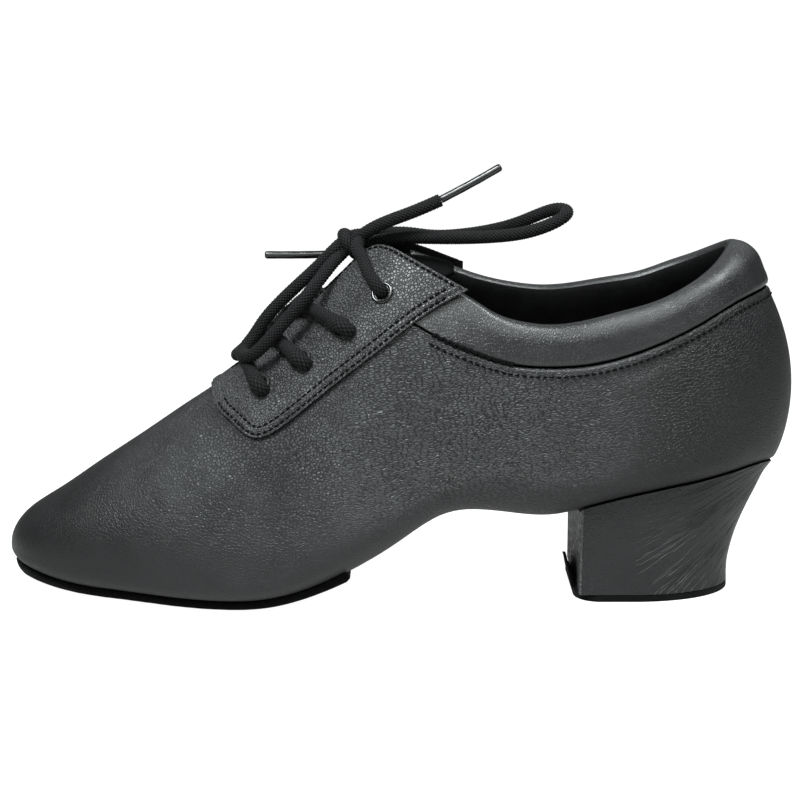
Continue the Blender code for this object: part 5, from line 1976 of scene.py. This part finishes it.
@dataclass
class Stitching:
    """Rows of thread along the eyestay's edges and under the collar seam."""

    pattern: Pattern
    finishes: Finishes
    stay: Eyestay
    length: float = 1.9
    thick: float = 0.4
    pitch: float = 2.35
    sunk: float = 0.02
    reach: float = 0.6
    end_drop: float = 0.22
    blunt: float = 0.8
    # first station of the seam's row, its distance under the seam and its lift
    seam: tuple = (151.0, 2.8, 0.25)
    corner: float = 178.0
    # turn of a zigzag stitch, its size, pitch, distance over the seam and lift
    zigzag: tuple = (0.8, 1.3, 1.25, 0.5, 0.55)

    def stitch(self) -> tuple[Array, list]:
        """One stitch lying along X: a rounded grain of thread, pressed in at its ends."""
        deselect()
        bpy.ops.mesh.primitive_uv_sphere_add(segments=6, ring_count=7, radius=1.0,
                                             rotation=(0.0, QUARTER, 0.0))
        piece = bpy.context.object
        bpy.ops.object.transform_apply(location=True, rotation=True, scale=True)
        points = np.array([vertex.co for vertex in piece.data.vertices])
        long = np.sign(points[:, 0]) * np.abs(points[:, 0]) ** self.blunt
        points = np.stack((long * self.length / 2.0, points[:, 1] * self.thick,
                           points[:, 2] * self.thick - self.end_drop * long ** 2), axis=1)
        faces = [list(face.vertices) for face in piece.data.polygons]
        bpy.data.objects.remove(piece)
        return points, faces

    def row(self, line: Array, normals: Array, pitch: float) -> list[Matrix]:
        """Places of the stitches along a line.

        Args:
            line: points of the line.
            normals: normals at its points.
            pitch: way from stitch to stitch.

        Returns:
            A matrix for each stitch, in millimetres.
        """
        way = way_along(line)
        places = []
        for mark in np.arange(0.5 * pitch, way[-1], pitch):
            spot, ahead, behind = (Vector([np.interp(mark + shift, way, axis) for axis in line.T])
                                   for shift in (0.0, self.reach, -self.reach))
            up = Vector([np.interp(mark, way, axis) for axis in normals.T]).normalized()
            along = (ahead - behind).normalized()
            cross = up.cross(along).normalized()
            turn = Matrix((along, cross, along.cross(cross))).transposed().to_4x4()
            places.append(Matrix.Translation(spot) @ turn)
        return places

    def inset(self, points: Array, normals: Array, inward: Array, distance: float, lift: Array) -> Array:
        """Line at a distance inside a cut edge."""
        along = np.gradient(points, axis=0)
        across = np.cross(normals, along)
        across /= np.linalg.norm(across, axis=1, keepdims=True)
        across *= np.sign(np.sum(across * inward, axis=1, keepdims=True))
        return points + across * distance + normals * np.asarray(lift)[..., None]

    def on_stay(self, points: Array) -> Array:
        """Distance off the last at which thread lies on the eyestay."""
        stay = self.stay
        return stay.raised(points[:, 0] + self.pattern.last.length / 2.0) + stay.thick - self.sunk

    def rows(self) -> list[Matrix]:
        """Places of all stitches."""
        pattern, last, stay = self.pattern, self.pattern.last, self.stay
        first, below, lift = self.seam
        turn, size, pitch, over, lifted = self.zigzag
        places = []
        for side in Side:
            (low, low_up), (top, top_up) = stay.edges(side)
            up = np.broadcast_to((0.0, 0.0, 1.0), low.shape)
            for distance in stay.stitch_rows:
                line = self.inset(low, low_up, up, distance, self.on_stay(low))
                places += self.row(line[8:-14], low_up[8:-14], self.pitch)
            out = np.broadcast_to((0.0, float(side.value), -0.35), top.shape)
            line = self.inset(top, top_up, out, stay.stitch_rows[0], self.on_stay(top))
            places += self.row(line[14:-10], top_up[14:-10], self.pitch)
            stations = last.stations(first, last.length - 0.2, 220)
            seam, seam_up = pattern.edge(side, stations, pattern.upper_top)
            down = np.broadcast_to((0.0, 0.0, -1.0), seam.shape)
            line = self.inset(seam, seam_up, down, below, np.full(len(seam), lift))
            places += self.row(line, seam_up, self.pitch)
            front = seam[:, 0] + last.length / 2.0 < self.corner
            line = self.inset(seam[front], seam_up[front], -down[front], over, np.full(front.sum(), lifted))
            for k, place in enumerate(self.row(line, seam_up[front], pitch)):
                slant = Matrix.Rotation(turn * (-1.0) ** k, 4, 'Z')
                places.append(place @ slant @ Matrix.Scale(size, 4))
        return places

    def build(self) -> Piece:
        """All stitches in one piece."""
        grain, faces = self.stitch()
        turned = np.array([np.array(place) for place in self.rows()])
        points = np.einsum("nij,kj->nki", turned[:, :3, :3], grain) + turned[:, None, :3, 3]
        starts = range(0, len(turned) * len(grain), len(grain))
        joined = [[corner + start for corner in face] for start in starts for face in faces]
        piece = new_mesh("stitches", points.reshape(-1, 3), joined, (self.finishes.thread,))
        return dress(piece, Slot.UPPER)


@dataclass
class Studio:
    """White floor, soft light and the camera."""

    target: tuple = (1.15, 0.0, 67.1)
    elevation: float = 11.5
    distance: float = 640.0
    lens: float = 81.36
    tint: tuple = (0.95, 1.0, 1.0)
    # name, place, width and height, power, aim
    lamps: tuple = (
        ("key", (-280.0, -300.0, 720.0), (280.0, 280.0), 7.6, (-10.0, 0.0, 70.0)),
        ("front", (30.0, -620.0, 620.0), (520.0, 520.0), 2.4, (10.0, 0.0, 80.0)),
        ("top", (340.0, -140.0, 690.0), (260.0, 260.0), 3.6, (70.0, 0.0, 85.0)),
        ("rim", (0.0, 560.0, 560.0), (1500.0, 420.0), 0.9, (0.0, 0.0, 60.0)),
    )

    @staticmethod
    def shine(nodes: Nodes, light: float, seen: float) -> Socket:
        """Strength of a white surface as a light and as the camera sees it."""
        inputs = {"Value": nodes.add("ShaderNodeLightPath").outputs["Is Camera Ray"], "To Min": light}
        return nodes.add("ShaderNodeMapRange", {**inputs, "To Max": seen}).outputs["Result"]

    def floor(self) -> None:
        """Plain pale floor."""
        deselect()
        bpy.ops.mesh.primitive_plane_add(size=12.0, location=(0.0, 0.0, 0.0))
        piece = bpy.context.object
        piece.name = "floor"
        material, nodes, shader, place = open_material("pale floor")
        tone = nodes.mapped(nodes.noise(place, 3.0, 2.0), 0.3, 0.7)
        nodes.feed(shader, {"Base Color": nodes.tint(tone, (0.28, 0.28, 0.28), (0.32, 0.32, 0.32)),
                            "Roughness": 0.9, "Specular IOR Level": 0.1,
                            "Emission Color": (1.0, 1.0, 1.0, 1.0),
                            "Emission Strength": self.shine(nodes, 0.38, 1.0)})
        piece.data.materials.append(material)

    def light(self) -> None:
        """Soft boxes and a white room."""
        for name, place, (width, height), power, aim in self.lamps:
            lamp = bpy.data.lights.new(name, 'AREA')
            lamp.shape = 'RECTANGLE'
            lamp.size = width * MM
            lamp.size_y = height * MM
            lamp.energy = power
            lamp.color = self.tint
            item = bpy.data.objects.new(name, lamp)
            spot = Vector(place) * MM
            item.location = spot
            item.rotation_euler = (Vector(aim) * MM - spot).to_track_quat('-Z', 'Y').to_euler()
            bpy.context.scene.collection.objects.link(item)
        world = bpy.data.worlds.new("white room")
        bpy.context.scene.world = world
        world.use_nodes = True
        nodes = Nodes(world.node_tree)
        nodes.feed(world.node_tree.nodes["Background"], {"Color": (1.0, 1.0, 1.0, 1.0),
                                                         "Strength": self.shine(nodes, 0.02, 1.2)})

    def camera(self) -> None:
        """Camera at the photo's angle."""
        lens = bpy.data.cameras.new("camera")
        lens.lens = self.lens
        lens.sensor_width = 36.0
        lens.clip_start = 0.01
        item = bpy.data.objects.new("camera", lens)
        tilt = math.radians(self.elevation)
        shift = Vector((0.0, -math.cos(tilt), math.sin(tilt))) * self.distance
        item.location = (Vector(self.target) + shift) * MM
        item.rotation_euler = (QUARTER - tilt, 0.0, 0.0)
        bpy.context.scene.collection.objects.link(item)
        bpy.context.scene.camera = item

    def build(self) -> None:
        """Set the stage."""
        self.floor()
        self.light()
        self.camera()
        bpy.context.scene.view_settings.view_transform = 'Standard'


def main() -> None:
    """Build the dressed shoe."""
    logging.basicConfig(level=logging.INFO, format="%(name)s %(message)s")
    Studio().build()
    finishes = Finishes()
    last = Last()
    pattern = Pattern(last)
    lace = Lace(pattern, finishes)
    lace.build_bow()
    lace.build_crossings()
    stay, eyelets = Eyestay(pattern, finishes), Eyelets(pattern, finishes)
    eyelets.cut(Upper(pattern, finishes).build(), stay.build())
    eyelets.build()
    Collar(pattern, finishes).build()
    Tongue(pattern, finishes).build()
    Insole(pattern, finishes).build()
    Outsole(pattern, finishes).build()
    heel = Heel(pattern, finishes)
    heel.build()
    HeelTip(heel, finishes).build()
    Stitching(pattern, finishes, stay).build()


if __name__ == "__main__":
    main()
